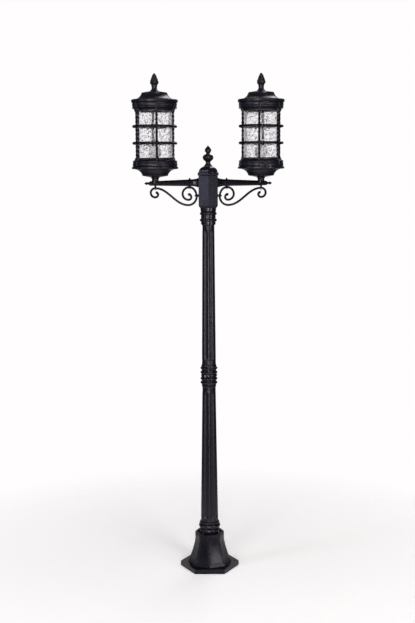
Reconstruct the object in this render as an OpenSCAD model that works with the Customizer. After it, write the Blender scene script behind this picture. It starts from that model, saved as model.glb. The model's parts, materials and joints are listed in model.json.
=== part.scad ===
// Twin-lantern garden lamp post: a flared base, a fluted post in two lengths joined by ringed collars,
// a six-sided hub with two arms on scroll brackets, and a round caged lantern on each arm.
// Millimetres, +Z up, origin under the middle of the plinth, the front faces -Y.

/* [Base casting] */
// Distance across the corners of the six-sided plinth
plinth_across = 276; // [262:1:300]
// Height of the plinth
plinth_h = 22; // [16:1:30]
// Corner radius of the eight-sided bell where it meets the plinth
bell_bottom_r = 103; // [96:1:105]
// Corner radius of the bell's upright band
bell_top_r = 68; // [65:1:72]
// Height of the bell above the plinth
bell_h = 146; // [130:1:170]
// Height of the upright band at the top of the bell
bell_band_h = 36; // [26:1:44]
// Lean of the bell's flare where it leaves the band, in degrees
bell_lean = 10; // [6:1:13]
// Depth of the recess inside the band
bell_recess = 10; // [6:1:14]
// Wall thickness of the base casting
base_wall = 6; // [5:0.5:7]
// Thickness of the plate under the recess
base_plate_t = 8; // [6:1:12]
// Height of the spigot that carries the base collar
base_spigot_h = 22; // [18:1:24]
// Radius of the circle of anchor holes
anchor_circle_r = 118; // [114:1:120]
// Diameter of an anchor hole
anchor_hole_d = 11; // [9:0.5:14]

/* [Post] */
// Height of the collar between base and post
base_collar_h = 64; // [60:1:72]
// Visible length of the lower post
lower_post_len = 644; // [500:1:800]
// Radius of the lower post at its foot
lower_foot_r = 40.5; // [39:0.5:42]
// Radius of the lower post at its top
lower_top_r = 30.9; // [30:0.1:32]
// Height of the collar between the two posts
mid_collar_h = 108; // [100:1:120]
// Visible length of the upper post
upper_post_len = 643; // [500:1:800]
// Radius of the upper post at its foot
upper_foot_r = 32.3; // [31.5:0.1:33]
// Radius of the upper post at its top
upper_top_r = 27.6; // [26.5:0.1:29]
// Height of the collar between post and hub
top_collar_h = 80; // [76:1:90]
// Number of flutes round the post
flute_count = 8; // [6:1:10]
// Depth of a flute at the foot of the lower post
flute_depth = 5; // [3:0.5:6]
// Plain length left at each end of a post, to the middle of the flute's round end
flute_end = 30; // [24:1:60]
// Length of the tenon at each end of a post
tenon_h = 32; // [24:1:34]
// Wall of a post's tenon
tenon_wall = 4.5; // [4:0.5:5.5]
// Step from a post's face in to its tenon
tenon_step = 4.4; // [4:0.1:5]

/* [Hub] */
// Height of the six-sided hub
hub_h = 146; // [136:1:170]
// Width of the hub across its flats
hub_across = 87.5; // [85:0.5:92]
// Wall thickness of the hub
hub_wall = 5; // [4:0.5:6]
// Thickness of the hub's floor
hub_floor_t = 10; // [9:1:14]
// Height of the chamfer round the hub's foot
hub_chamfer = 9; // [5:1:9]
// Height of the cap's rim
cap_rim_h = 13; // [10:1:16]
// Distance that the cap's rim stands out from the hub
cap_overhang = 4; // [2:0.5:6]
// Height of the cap's dome above its rim
cap_dome_h = 29; // [24:1:34]
// Height of the finial on the hub
hub_finial_h = 92; // [92:1:110]

/* [Arms] */
// Distance from the post's axis to each lantern's axis
lantern_x = 240.5; // [225:0.5:270]
// Height of the arm's axis above the hub's foot
arm_rise = 114; // [108:1:116]
// Height of the arm behind its band
arm_root_h = 31.5; // [29:0.5:32]
// Height of the arm at its outer end
arm_end_h = 20; // [18:0.5:22]
// Distance that the arm runs past the lantern's axis, without its point
arm_past = 25; // [20:1:35]
// Length of the arm's turned point
point_len = 25; // [20:1:32]
// Thickness of the scroll's flat bar
scroll_t = 8; // [7:0.5:9]
// Width of the scroll's flat bar
scroll_w = 12; // [10:1:14]

/* [Lantern] */
// Height of the stem under each lantern
stem_h = 15; // [13:0.5:24]
// Height of the lantern's bowl
bowl_h = 47.5; // [45:0.5:52]
// Radius of the rims of bowl and roof
rim_r = 105.5; // [104:0.5:108]
// Height of the ring above the bowl, and of the one below the roof
ring_h = 40; // [38:1:46]
// Height of the open cage between the two rings
cage_h = 207; // [150:1:260]
// Width of a twisted square cage bar
bar_w = 8.4; // [7.6:0.1:8.8]
// Number of cage bars
bar_count = 6; // [4:1:8]
// Full turns of twist in a cage bar
bar_turns = 2.75; // [2:0.25:4]
// Width of a hoop's twisted square bar
hoop_w = 7.4; // [7:0.1:8]
// Distance between the cage's two hoops
hoop_gap = 75; // [50:1:90]
// Turn of each lantern's cage towards the post, in degrees
cage_turn = 8; // [0:1:29]
// Outer radius of the glass cylinder
glass_r = 80; // [78:0.5:80.5]
// Thickness of the glass
glass_t = 3; // [2:0.5:4]
// Thickness of the seals above and below the glass
seal_t = 2; // [1:0.5:3]
// Height of the roof
roof_h = 50.5; // [47:0.5:60]
// Height of the finial on the roof
roof_finial_h = 79; // [70:1:95]
// Wall thickness of bowl and roof
shell_t = 3.5; // [3:0.25:4]

/* [Lamp] */
// Height of the lampholder
holder_h = 52; // [48:1:56]
// Length of the bulb with its cap
bulb_len = 105; // [95:1:115]
// Greatest radius of the bulb
bulb_r = 30; // [26:0.5:32]

/* [Fits] */
// Radial clearance of a push fit or a screw in its hole
fit = 0.1; // [0.05:0.01:0.2]
// Radial clearance of a turning fit
turn_fit = 0.08; // [0.03:0.01:0.1]
// Gap under a piece that lifts off or turns
lift_gap = 0.3; // [0.2:0.05:0.5]

/* [Hidden] */
$fn = 72;

// Paint and metal colours
black_paint = "#1d1d22";
black_steel = "#18181b";
zinc = "#b9bcc0";
clear_glass = "#dfe6ea80";
white_ceramic = "#eeeae2";
seal_rubber = "#2a2a2a";
pale_plastic = "#d8d4c6";

// Points along a curved profile
curve_steps = 10;
bead_steps = 8;
overcut = 1;

// Heights up the post
plate_z = plinth_h + bell_h - bell_recess;
lower_z = plate_z + base_collar_h;
mid_z = lower_z + lower_post_len;
upper_z = mid_z + mid_collar_h;
top_z = upper_z + upper_post_len;
hub_z = top_z + top_collar_h;
cap_z = hub_z + hub_h;
arm_z = hub_z + arm_rise;

// Tenons and bores of the posts
lower_foot_tenon_r = lower_foot_r - tenon_step;
lower_top_tenon_r = lower_top_r - tenon_step;
upper_foot_tenon_r = upper_foot_r - tenon_step;
upper_top_tenon_r = upper_top_r - tenon_step;
base_spigot_r = lower_foot_tenon_r - 1.5;
base_spigot_bore_r = base_spigot_r - 10;

mid_tenon_h = mid_collar_h / 2 + 6;

// Radii of the collars between their beads
base_foot_r = lower_foot_r + 3.6;
mid_core_r = lower_top_r + 2.5;
mid_drum_r = mid_core_r + 2.8;
top_core_r = upper_top_r + 6;

// Set screws in the collars: the angles are measured from the front towards -X
screw_r = 4;
screw_socket_r = 2.2;
screw_proud = 2;
base_screw_turns = [43, 163, 283];
base_screw_rise = 8;
mid_screw_turns = [27, 147, 267];
mid_screw_rise = mid_collar_h / 2 + 1.5;
top_screw_turns = [120, 240];
top_screw_rise = tenon_h / 2 - 5;

// Ball-ended cutter for a flute, at the foot of the lower post
flute_cut_r = 28;
flute_ball_ease = 0.998;

// The hub, its bridge and what it holds
hex_turn = 30;
hex_ratio = cos(180 / 6);
octagon_ratio = cos(180 / 8);
hub_face = hub_across / 2;
hub_inner = hub_face - hub_wall;
hub_spigot_r = 22;
hub_spigot_wall = 5;
hub_spigot_h = hub_floor_t + 16;
locknut_h = 9;
locknut_across = 50;
bridge_t = 4;
bridge_w = 14;
bridge_screw_y = hub_inner / hex_ratio - 8.3;
bridge_z = cap_z - 17;
lug_r = 8;
lug_h = 36;
hub_stud_r = 4;
hub_stud_reach = 18;
cap_top_z = cap_z + lift_gap + cap_rim_h + cap_dome_h;
cap_lip_h = 7;
cap_wall = 4;
cap_seat_r = 20;
cap_seat_h = 3;
small_screw_r = 2.5;
small_head_r = 4.2;
small_head_h = 3;
block_l = 40;
block_w = 17;
block_h = 15;

// The arms and their bands
arm_tenon_r = 9;
arm_wire_r = 3.5;
arm_nut_h = 7;
arm_nut_across = 26;
flange_h = 41;
flange_t = 8;
flare_len = 16;
band_h = 33;
band_len = 10;
band_bead_len = 4;
band_bead_drop = 1.5;
arm_drop = 2.7;
seat_rise = 9.5;
seat_r = 16.5;
arm_end_x = lantern_x + arm_past;
seat_z = arm_z + seat_rise;

// Scroll route: the inner volute as a chain of [radius, turn] arcs from its tip, then an S to the outer one
inner_heading = 168;
inner_arcs = [[12.4, 96], [12.4, 96], [27.2, 99], [30.5, 85], [29.6, 50], [49.7, 43], [38.2, 83]];
outer_arcs = [[21, -90], [20.5, -90], [13, -90], [8, -110]];
arc_step = 13;
run_pull = 0.4;
run_steps = 12;
hub_spacer_t = 5;
hub_spacer_r = 6;
tip_swell = [0.8, 1.25, 1.4, 1.4, 1.25, 1.1];
scroll_edge = 1.5;
scroll_seat = 0.05;
outer_spacer_h = 6.4;
clip_h = 5;
clip_r = 4.6;
clip_seat = 0.5;

// Levels in a lantern, above the seat on its arm
bowl_rise = stem_h;
lower_ring_rise = bowl_rise + bowl_h;
cage_rise = lower_ring_rise + ring_h;
upper_ring_rise = cage_rise + cage_h;
roof_rise = upper_ring_rise + ring_h + lift_gap;
roof_finial_rise = roof_rise + roof_h + lift_gap;

// The lantern's fixed details
nipple_r = 5;
nipple_bore_r = 3.5;
nipple_depth = 10;
nipple_nut_h = 7;
nipple_nut_across = 17;
bowl_floor = 9.5;
holder_rise = bowl_rise + bowl_floor + nipple_nut_h;
holder_r = 20.5;
holder_foot_r = 16;
holder_base = 22;
bulb_cap_r = 13.4;
stem_top_r = 20;
stem_foot_r = 16;
cove_r = rim_r - 6.5;
cove_w = 42;
rim_h = 10;
roof_rim_h = 13;
ring_r = rim_r - 4;
ring_wall = 6.5;
ledge_rise = 16;
ledge_t = 8;
glass_room = 0.6;
ledge_r = glass_r - 7;
bar_reach = bar_w / sqrt(2);
bar_circle_r = rim_r - 14.5;
bar_boss_r = bar_reach + 0.6;
bar_boss_h = 12;
ring_mouth_r = bar_circle_r;
hoop_reach = hoop_w / sqrt(2);
hoop_circle_r = bar_circle_r + 4.5;
hoop_turns = 11;
twist_steps = 16;
hoop_twist_steps = 12;
strap_w = 14;
strap_t = 3;
strap_end_r = ring_r - ring_wall - 2;
strap_screw_r = (ledge_r + strap_end_r) / 2;
ring_screw_count = 3;
ring_screw_r = 2;
ring_screw_head_r = 3.4;
ring_screw_circle_r = ring_r - ring_wall / 2;
ring_screw_turn = 30;
roof_stud_r = 3;
roof_stud_reach = 22;
roof_lip_h = 7;
rib_r = 3.5;

// Shared shapes

// Half-round bead in a turned profile, from its lower to its upper edge
function bead(rise, half, from_r, to_r) = [
    for (i = [0:bead_steps])
        let (a = -90 + 180 * i / bead_steps)
        [from_r + (to_r - from_r) * cos(a), rise + half * sin(a)]
];

// Quarter-oval hollow about a centre, between two angles
function cove(centre, across, up, from_a, to_a) = [
    for (i = [0:curve_steps])
        let (a = from_a + (to_a - from_a) * i / curve_steps)
        [centre[0] - across * cos(a), centre[1] + up * sin(a)]
];

// Concave flare that leaves the top at a lean from upright and sweeps out to the foot
function flare(top_r, top, foot_r, foot, lean) =
    let (
        drop = top - foot,
        spread = foot_r - top_r,
        half = atan(spread / drop) - lean,
        sweep_r = norm([drop, spread]) / (2 * sin(half))
    )
    [
        for (i = [0:curve_steps])
            let (a = lean + 2 * half * (1 - i / curve_steps))
            [top_r + sweep_r * (cos(lean) - cos(a)), top - sweep_r * (sin(a) - sin(lean))]
    ];

function flip(points, height) = [for (p = points) [p[0], height - p[1]]];
function reverse(points) = [for (i = [len(points) - 1:-1:0]) points[i]];

module turned(points) {
    rotate_extrude()
        polygon(points);
}

module hexagon_bar(across, h) {
    cylinder(r = across / 2 / hex_ratio, h = h, $fn = 6);
}

// Places its children at a height on the post, turned from the front towards -X
module at_front_turn(turn, z) {
    translate([0, 0, z])
        rotate([0, 0, -90 - turn])
            children();
}

// Screw standing on z = 0: a shank below and a pan head above
module pan_screw(shank_r, shank_l, head_r, head_h) {
    translate([0, 0, -shank_l])
        cylinder(r = shank_r, h = shank_l + head_h / 2);
    cylinder(r = head_r, h = head_h);
}

module set_screws(turns, z, from_r, to_r) {
    for (turn = turns)
        at_front_turn(turn, z)
            translate([from_r, 0, 0])
                rotate([0, 90, 0])
                    difference() {
                        cylinder(r = screw_r, h = to_r - from_r);
                        translate([0, 0, to_r - from_r - screw_r])
                            cylinder(r = screw_socket_r, h = screw_r + overcut, $fn = 6);
                    }
}

module set_screw_holes(turns, z, from_r, to_r) {
    for (turn = turns)
        at_front_turn(turn, z)
            translate([from_r, 0, 0])
                rotate([0, 90, 0])
                    cylinder(r = screw_r + fit, h = to_r - from_r);
}

// Base

module bell_shell() {
    inset = base_wall / octagon_ratio;
    band_z = plinth_h + bell_h - bell_band_h;
    outer = flare(bell_top_r, band_z, bell_bottom_r, plinth_h, bell_lean);
    inner = flare(bell_top_r - inset, band_z, bell_bottom_r - inset, plinth_h, bell_lean);
    outline = concat(
        [[bell_bottom_r - inset, 0], [bell_bottom_r, 0]],
        outer,
        [
            [bell_top_r, plinth_h + bell_h],
            [bell_top_r - inset, plinth_h + bell_h],
            [bell_top_r - inset, plate_z],
            [0, plate_z],
            [0, plate_z - base_plate_t],
            [bell_top_r - inset, plate_z - base_plate_t]
        ],
        reverse(inner)
    );
    rotate_extrude($fn = 8)
        polygon(outline);
}

module base_casting() {
    color(black_paint)
        difference() {
            union() {
                difference() {
                    cylinder(r = plinth_across / 2, h = plinth_h, $fn = 6);
                    translate([0, 0, -overcut])
                        cylinder(r = bell_bottom_r - base_wall / 2, h = plinth_h + 2 * overcut, $fn = 8);
                }
                bell_shell();
                translate([0, 0, plate_z - base_plate_t / 2])
                    cylinder(r = base_spigot_r, h = base_plate_t / 2 + base_spigot_h);
            }
            translate([0, 0, plate_z - base_plate_t - overcut])
                cylinder(r = base_spigot_bore_r, h = base_plate_t + base_spigot_h + 2 * overcut);
            for (k = [0:2])
                rotate([0, 0, 120 * k])
                    translate([anchor_circle_r, 0, -overcut])
                        cylinder(d = anchor_hole_d, h = plinth_h + 2 * overcut);
        }
}

// Collars

module base_collar() {
    top = base_collar_h;
    foot_r = base_foot_r;
    outline = concat(
        [[0, 0], [foot_r, 0]],
        bead(19, 10.5, foot_r - 1, foot_r + 3.5),
        bead(42, 9, foot_r + 1.5, foot_r + 6.5),
        bead(top - 6, 5, lower_foot_r + 1, foot_r + 2.6),
        [[lower_foot_r, top], [0, top]]
    );
    color(black_paint)
        translate([0, 0, plate_z])
            difference() {
                turned(outline);
                translate([0, 0, -overcut])
                    cylinder(r = base_spigot_r + fit, h = base_spigot_h + overcut + fit);
                translate([0, 0, top - tenon_h - fit])
                    cylinder(r = lower_foot_tenon_r + fit, h = tenon_h + fit + overcut);
                cylinder(r = base_spigot_bore_r, h = top);
                set_screw_holes(base_screw_turns, base_screw_rise, base_spigot_r - 2, foot_r + 6);
            }
}

module base_set_screws() {
    color(zinc)
        set_screws(
            base_screw_turns, plate_z + base_screw_rise,
            base_spigot_r + 2 * fit, base_foot_r + screw_proud
        );
}

module mid_collar() {
    half = mid_collar_h / 2;
    core_r = mid_core_r;
    lower_half = concat(
        [[0, 0], [lower_top_r, 0], [lower_top_r + 2.4, 4], [lower_top_r + 2.4, 13]],
        bead(21.5, 5.5, core_r, core_r + 6.4),
        bead(half - 13.8, 5.5, core_r + 0.4, core_r + 6.2),
        [[mid_drum_r, half - 4]]
    );
    upper_half = concat(
        [[0, 0], [upper_foot_r, 0], [upper_foot_r + 2.4, 6], [upper_foot_r + 2.8, 11]],
        bead(18.5, 5.5, core_r + 0.6, core_r + 6.4),
        bead(half - 15.4, 5.5, core_r + 0.4, core_r + 6.2),
        [[mid_drum_r, half - 6]]
    );
    color(black_paint)
        translate([0, 0, mid_z])
            difference() {
                turned(concat(lower_half, reverse(flip(upper_half, mid_collar_h))));
                translate([0, 0, -overcut])
                    cylinder(r = lower_top_tenon_r + fit, h = tenon_h + fit + overcut);
                translate([0, 0, mid_collar_h - mid_tenon_h - fit])
                    cylinder(r = upper_foot_tenon_r + fit, h = mid_tenon_h + fit + overcut);
                cylinder(r = upper_foot_tenon_r - tenon_wall, h = mid_collar_h);
                set_screw_holes(mid_screw_turns, mid_screw_rise, upper_foot_tenon_r - 2, core_r + 8);
            }
}

module mid_set_screws() {
    color(zinc)
        set_screws(
            mid_screw_turns, mid_z + mid_screw_rise,
            upper_foot_tenon_r + 2 * fit, mid_drum_r + screw_proud
        );
}

module top_collar() {
    top = top_collar_h;
    core_r = top_core_r;
    outline = concat(
        [[0, 0], [upper_top_r, 0], [core_r - 0.4, 5], [core_r, 16]],
        bead(24.5, 6, core_r, core_r + 5.7),
        [[core_r, 40]],
        bead(54, 6, core_r, core_r + 5.4),
        [[core_r + 1.9, 66], [core_r + 2.7, top]],
        [[hub_spigot_r, top], [hub_spigot_r, top + hub_spigot_h], [0, top + hub_spigot_h]]
    );
    color(black_paint)
        translate([0, 0, top_z])
            difference() {
                turned(outline);
                translate([0, 0, -overcut])
                    cylinder(r = upper_top_tenon_r + fit, h = tenon_h + fit + overcut);
                cylinder(r = hub_spigot_r - hub_spigot_wall, h = top + hub_spigot_h + overcut);
                set_screw_holes(top_screw_turns, top_screw_rise, upper_top_tenon_r - 2, core_r + 6);
            }
}

module top_set_screws() {
    color(zinc)
        set_screws(
            top_screw_turns, top_z + top_screw_rise,
            upper_top_tenon_r + 2 * fit, top_core_r + screw_proud
        );
}

// Posts

// Channel cutter: a long cone that leans with the post's taper, with a ball at each end
module flute_cutter(run, foot_r, top_r) {
    scale_at = function (z) (foot_r + (top_r - foot_r) * z / run) / lower_foot_r;
    cut_r = function (z) flute_cut_r * scale_at(z);
    axis_r = function (z) (lower_foot_r - flute_depth + flute_cut_r) * scale_at(z);
    low = flute_end;
    high = run - flute_end;
    lean = atan((axis_r(low) - axis_r(high)) / (high - low));
    translate([axis_r(low), 0, low])
        rotate([0, -lean, 0])
            cylinder(r1 = cut_r(low), r2 = cut_r(high), h = (high - low) / cos(lean));
    translate([axis_r(low), 0, low])
        sphere(r = cut_r(low) * flute_ball_ease);
    translate([axis_r(high), 0, high])
        sphere(r = cut_r(high) * flute_ball_ease);
}

module fluted_post(run, foot_r, top_r, foot_tenon_h) {
    foot_tenon_r = foot_r - tenon_step;
    top_tenon_r = top_r - tenon_step;
    difference() {
        union() {
            cylinder(r1 = foot_r, r2 = top_r, h = run);
            translate([0, 0, -foot_tenon_h])
                cylinder(r = foot_tenon_r, h = foot_tenon_h + overcut);
            translate([0, 0, run - overcut])
                cylinder(r = top_tenon_r, h = tenon_h + overcut);
        }
        translate([0, 0, -foot_tenon_h - overcut])
            cylinder(
                r1 = foot_tenon_r - tenon_wall,
                r2 = top_tenon_r - tenon_wall,
                h = run + foot_tenon_h + tenon_h + 2 * overcut
            );
        for (k = [0:flute_count - 1])
            rotate([0, 0, -90 + (k + 0.5) * 360 / flute_count])
                flute_cutter(run, foot_r, top_r);
    }
}

module lower_post() {
    color(black_paint)
        translate([0, 0, lower_z])
            fluted_post(lower_post_len, lower_foot_r, lower_top_r, tenon_h);
}

module upper_post() {
    color(black_paint)
        translate([0, 0, upper_z])
            fluted_post(upper_post_len, upper_foot_r, upper_top_r, mid_tenon_h);
}

// Hub

module six_sided(points) {
    rotate([0, 0, hex_turn])
        rotate_extrude($fn = 6)
            polygon([for (p = points) [p[0] / hex_ratio, p[1]]]);
}

module arm_hub() {
    foot = hub_face - hub_chamfer * 0.75;
    color(black_paint)
        translate([0, 0, hub_z])
            difference() {
                union() {
                    six_sided([
                        [0, 0], [foot, 0], [hub_face, hub_chamfer], [hub_face, hub_h],
                        [hub_inner, hub_h], [hub_inner, hub_floor_t], [0, hub_floor_t]
                    ]);
                    for (side = [-1, 1])
                        translate([0, side * bridge_screw_y, bridge_z - hub_z - lug_h])
                            cylinder(r = lug_r, h = lug_h);
                }
                translate([0, 0, -overcut])
                    cylinder(r = hub_spigot_r + fit, h = hub_floor_t + 2 * overcut);
                for (side = [-1, 1])
                    translate([0, side * bridge_screw_y, bridge_z - hub_z - lug_h / 2])
                        cylinder(r = small_screw_r + fit, h = lug_h);
                for (side = [0, 1])
                    mirror([side, 0, 0])
                        translate([hub_inner - overcut, 0, 0])
                            rotate([0, 90, 0]) {
                                translate([-arm_rise, 0, 0])
                                    cylinder(r = arm_tenon_r + fit, h = hub_wall + 2 * overcut);
                                translate([hub_z - hub_fixing_z, 0, 0])
                                    cylinder(r = small_screw_r + fit, h = hub_wall + 2 * overcut);
                            }
            }
}

module hub_locknut() {
    color(zinc)
        translate([0, 0, hub_z + hub_floor_t])
            difference() {
                hexagon_bar(locknut_across, locknut_h);
                translate([0, 0, -overcut])
                    cylinder(r = hub_spigot_r + fit, h = locknut_h + 2 * overcut);
            }
}

module hub_bridge() {
    length = 2 * (bridge_screw_y + 3);
    color(zinc)
        translate([0, 0, bridge_z])
            difference() {
                translate([-bridge_w / 2, -length / 2, 0])
                    cube([bridge_w, length, bridge_t]);
                translate([0, 0, -overcut])
                    cylinder(r = hub_stud_r + fit, h = bridge_t + 2 * overcut);
                for (side = [-1, 1])
                    translate([0, side * bridge_screw_y, -overcut])
                        cylinder(r = small_screw_r + fit, h = bridge_t + 2 * overcut);
            }
}

module hub_stud() {
    color(zinc)
        translate([0, 0, bridge_z])
            cylinder(r = hub_stud_r, h = cap_top_z + hub_stud_reach - bridge_z);
}

module bridge_screws() {
    color(zinc)
        for (side = [-1, 1])
            translate([0, side * bridge_screw_y, bridge_z + bridge_t])
                pan_screw(small_screw_r, bridge_t + lug_h / 2 - 2, small_head_r, small_head_h);
}

module terminal_block() {
    pole_count = 3;
    pitch = block_l / pole_count;
    color(pale_plastic)
        translate([0, 0, bridge_z - block_h])
            difference() {
                translate([-block_w / 2, -block_l / 2, 0])
                    cube([block_w, block_l, block_h]);
                for (k = [0:pole_count - 1])
                    translate([-block_w / 2 - overcut, (k - 1) * pitch, block_h / 2])
                        rotate([0, 90, 0])
                            cylinder(r = 3, h = block_w + 2 * overcut);
                for (k = [0:pole_count - 2])
                    translate([-block_w / 2 - overcut, (k - 0.5) * pitch - 0.8, -overcut])
                        cube([block_w + 2 * overcut, 1.6, 4]);
            }
}

module hub_cap() {
    rim = hub_face + cap_overhang;
    dome = hub_face - 1;
    lip = hub_inner - lift_gap;
    bottom = lift_gap;
    shoulder = bottom + cap_rim_h + 2;
    top = bottom + cap_rim_h + cap_dome_h;
    color(black_paint)
        translate([0, 0, cap_z])
            difference() {
                union() {
                    six_sided(concat(
                        [[0, bottom], [rim - 1.5, bottom]],
                        bead(bottom + cap_rim_h / 2, cap_rim_h / 2, rim - 1.5, rim),
                        dome_arc(dome, shoulder, top - 1.5),
                        [[0, top - 1.5]]
                    ));
                    six_sided([[0, -cap_lip_h], [lip, -cap_lip_h], [lip, bottom + 2], [0, bottom + 2]]);
                    translate([0, 0, top - cap_seat_h])
                        cylinder(r = cap_seat_r, h = cap_seat_h);
                }
                six_sided(concat(
                    [[0, -cap_lip_h - overcut], [lip - cap_wall, -cap_lip_h - overcut]],
                    dome_arc(lip - cap_wall, shoulder - cap_wall, top - 1.5 - cap_wall),
                    [[0, top - 1.5 - cap_wall]]
                ));
                cylinder(r = hub_stud_r + turn_fit, h = top + overcut);
            }
}

// Quarter-round dome in a profile, from its springing to a flat crown
function dome_arc(r, from_z, to_z) = [
    for (i = [0:curve_steps])
        let (a = 60 * i / curve_steps)
        [r * cos(a), from_z + (to_z - from_z) * sin(a) / sin(60)]
];

module hub_finial() {
    h = hub_finial_h;
    outline = concat(
        [[0, 0], [18.5, 0], [18, 2.5]],
        cove([18.5, 15.5], 8, 12.5, -80, 0),
        bead(37.5, 17, 10.2, 25.2),
        [[8.4, h - 36], [10.2, h - 31], [14, h - 26], [15.4, h - 21], [14.2, h - 16.5]],
        [[10.4, h - 11], [5.2, h - 4.5], [1.4, h], [0, h]]
    );
    color(black_paint)
        translate([0, 0, cap_top_z + lift_gap])
            difference() {
                turned(outline);
                translate([0, 0, -overcut])
                    cylinder(r = hub_stud_r + turn_fit, h = hub_stud_reach + overcut);
            }
}

// Scroll brackets

function arc_points(p, heading, r, turn) =
    let (
        side = sign(turn),
        steps = ceil(abs(turn) / arc_step),
        centre = p + side * r * [-sin(heading), cos(heading)]
    )
    [
        for (i = [1:steps])
            let (h = heading + turn * i / steps)
            centre + side * r * [sin(h), -cos(h)]
    ];

function arc_chain(p, heading, arcs, i = 0) =
    i == len(arcs) ? [] :
    let (points = arc_points(p, heading, arcs[i][0], arcs[i][1]))
    concat(points, arc_chain(points[len(points) - 1], heading + arcs[i][1], arcs, i + 1));

function run_point(a, b, t) =
    let (pull = [run_pull * (b[0] - a[0]), 0])
    pow(1 - t, 3) * a + 3 * t * pow(1 - t, 2) * (a + pull) + 3 * t * t * (1 - t) * (b - pull) + t * t * t * b;

volute = concat([[0, 0]], arc_chain([0, 0], inner_heading, inner_arcs));
volute_top = max([for (p = volute) p[1]]);
volute_side = min([for (p = volute) p[0]]);
band_low_z = arm_z - band_h / 2;
volute_shift = [
    hub_face + hub_spacer_t + scroll_t / 2 - volute_side,
    band_low_z - scroll_seat - scroll_t / 2 - volute_top
];
band_x = [for (p = volute) if (p[1] == volute_top) p[0]][0] + volute_shift[0];
hub_fixing_z = [for (p = volute) if (p[0] == volute_side) p[1]][0] + volute_shift[1];
spacer_low_z = arm_z - arm_drop - arm_end_h / 2 - 1 - outer_spacer_h;
outer_start = [lantern_x, spacer_low_z - scroll_seat - scroll_t / 2];
inner_route = [for (p = volute) p + volute_shift];
inner_end = inner_route[len(inner_route) - 1];
scroll_route = concat(
    inner_route,
    [for (i = [1:run_steps]) run_point(inner_end, outer_start, i / run_steps)],
    arc_chain(outer_start, 0, outer_arcs)
);

// Share of the bar's thickness at a point of its route: both tips swell into an eye
function swell(i, last) =
    let (from_tip = min(i, last - i))
    from_tip < len(tip_swell) ? tip_swell[from_tip] : 1;

// Flat bar with broken edges, swept along a route in the XZ plane
module swept_bar(route, t, w, edge) {
    last = len(route) - 1;
    section = [
        [t / 2, w / 2 - edge], [t / 2 - edge, w / 2], [edge - t / 2, w / 2], [-t / 2, w / 2 - edge],
        [-t / 2, edge - w / 2], [edge - t / 2, -w / 2], [t / 2 - edge, -w / 2], [t / 2, edge - w / 2]
    ];
    sides = len(section);
    points = [
        for (i = [0:last])
            let (
                along = route[min(i + 1, last)] - route[max(i - 1, 0)],
                across = [-along[1], along[0]] / norm(along) * swell(i, last)
            )
            for (s = section)
                [route[i][0] + across[0] * s[0], s[1], route[i][1] + across[1] * s[0]]
    ];
    walls = [
        for (i = [0:last - 1])
            for (j = [0:sides - 1])
                let (k = (j + 1) % sides, a = i * sides, b = a + sides)
                for (face = [[a + j, b + j, b + k], [a + j, b + k, a + k]])
                    face
    ];
    start_cap = [for (j = [1:sides - 2]) [0, j, j + 1]];
    end_cap = [for (j = [1:sides - 2]) [last * sides, last * sides + j + 1, last * sides + j]];
    polyhedron(points, concat(walls, start_cap, end_cap));
}

module scroll() {
    difference() {
        swept_bar(scroll_route, scroll_t, scroll_w, scroll_edge);
        for (p = [[band_x, band_low_z], [lantern_x, spacer_low_z]])
            translate([p[0], 0, p[1] - scroll_t - 2 * overcut])
                cylinder(r = small_screw_r + fit, h = scroll_t + 3 * overcut);
        translate([hub_face - overcut, 0, hub_fixing_z])
            rotate([0, 90, 0])
                cylinder(r = small_screw_r + fit, h = hub_spacer_t + scroll_t + 3 * overcut);
    }
}

module left_scroll() {
    color(black_steel)
        mirror([1, 0, 0])
            scroll();
}

module right_scroll() {
    color(black_steel)
        scroll();
}

module both_sides() {
    children();
    mirror([1, 0, 0])
        children();
}

module scroll_spacers() {
    color(black_steel)
        both_sides() {
            translate([lantern_x, 0, spacer_low_z])
                ring_spacer(clip_r, outer_spacer_h);
            translate([hub_face, 0, hub_fixing_z])
                rotate([0, 90, 0])
                    ring_spacer(hub_spacer_r, hub_spacer_t - scroll_seat);
        }
}

module ring_spacer(r, h) {
    difference() {
        cylinder(r = r, h = h);
        translate([0, 0, -overcut])
            cylinder(r = small_screw_r + fit, h = h + 2 * overcut);
    }
}

// Screw with a pointed drop head below z = 0 and its shank above
module drop_screw(shank_l) {
    turned([[0, -clip_h], [clip_r * 0.35, -clip_h * 0.85], [clip_r, -clip_h * 0.35], [clip_r, 0], [0, 0]]);
    translate([0, 0, -clip_h * 0.4])
        cylinder(r = small_screw_r, h = shank_l + clip_h * 0.4);
}

// Distance that a flat head stands off the hollow side of a bend
function head_drop(bend_r) = pow(clip_r, 2) / (2 * (bend_r - scroll_t / 2)) + clip_seat;

module scroll_screws() {
    band_drop = head_drop(inner_arcs[3][0]);
    outer_drop = head_drop(outer_arcs[0][0]);
    color(zinc)
        both_sides() {
            translate([band_x, 0, band_low_z - scroll_t - band_drop])
                drop_screw(scroll_t + band_drop + 8);
            translate([lantern_x, 0, spacer_low_z - scroll_t - outer_drop])
                drop_screw(scroll_t + outer_drop + outer_spacer_h + 4);
        }
}

module hub_scroll_screws() {
    drop = head_drop(inner_arcs[2][0]);
    color(black_steel)
        both_sides()
            translate([hub_face + hub_spacer_t + scroll_t + drop, 0, hub_fixing_z])
                rotate([0, -90, 0])
                    drop_screw(scroll_t + drop + hub_spacer_t + hub_wall);
}

// Arms

module arm_section(x, z, h) {
    translate([x, 0, z])
        rotate([0, 90, 0])
            rotate([0, 0, 22.5])
                cylinder(r = h / 2 / octagon_ratio, h = 0.2, center = true, $fn = 8);
}

module arm_prism(from_x, to_x, z, h) {
    translate([from_x, 0, z])
        rotate([0, 90, 0])
            rotate([0, 0, 22.5])
                cylinder(r = h / 2 / octagon_ratio, h = to_x - from_x, $fn = 8);
}

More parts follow.
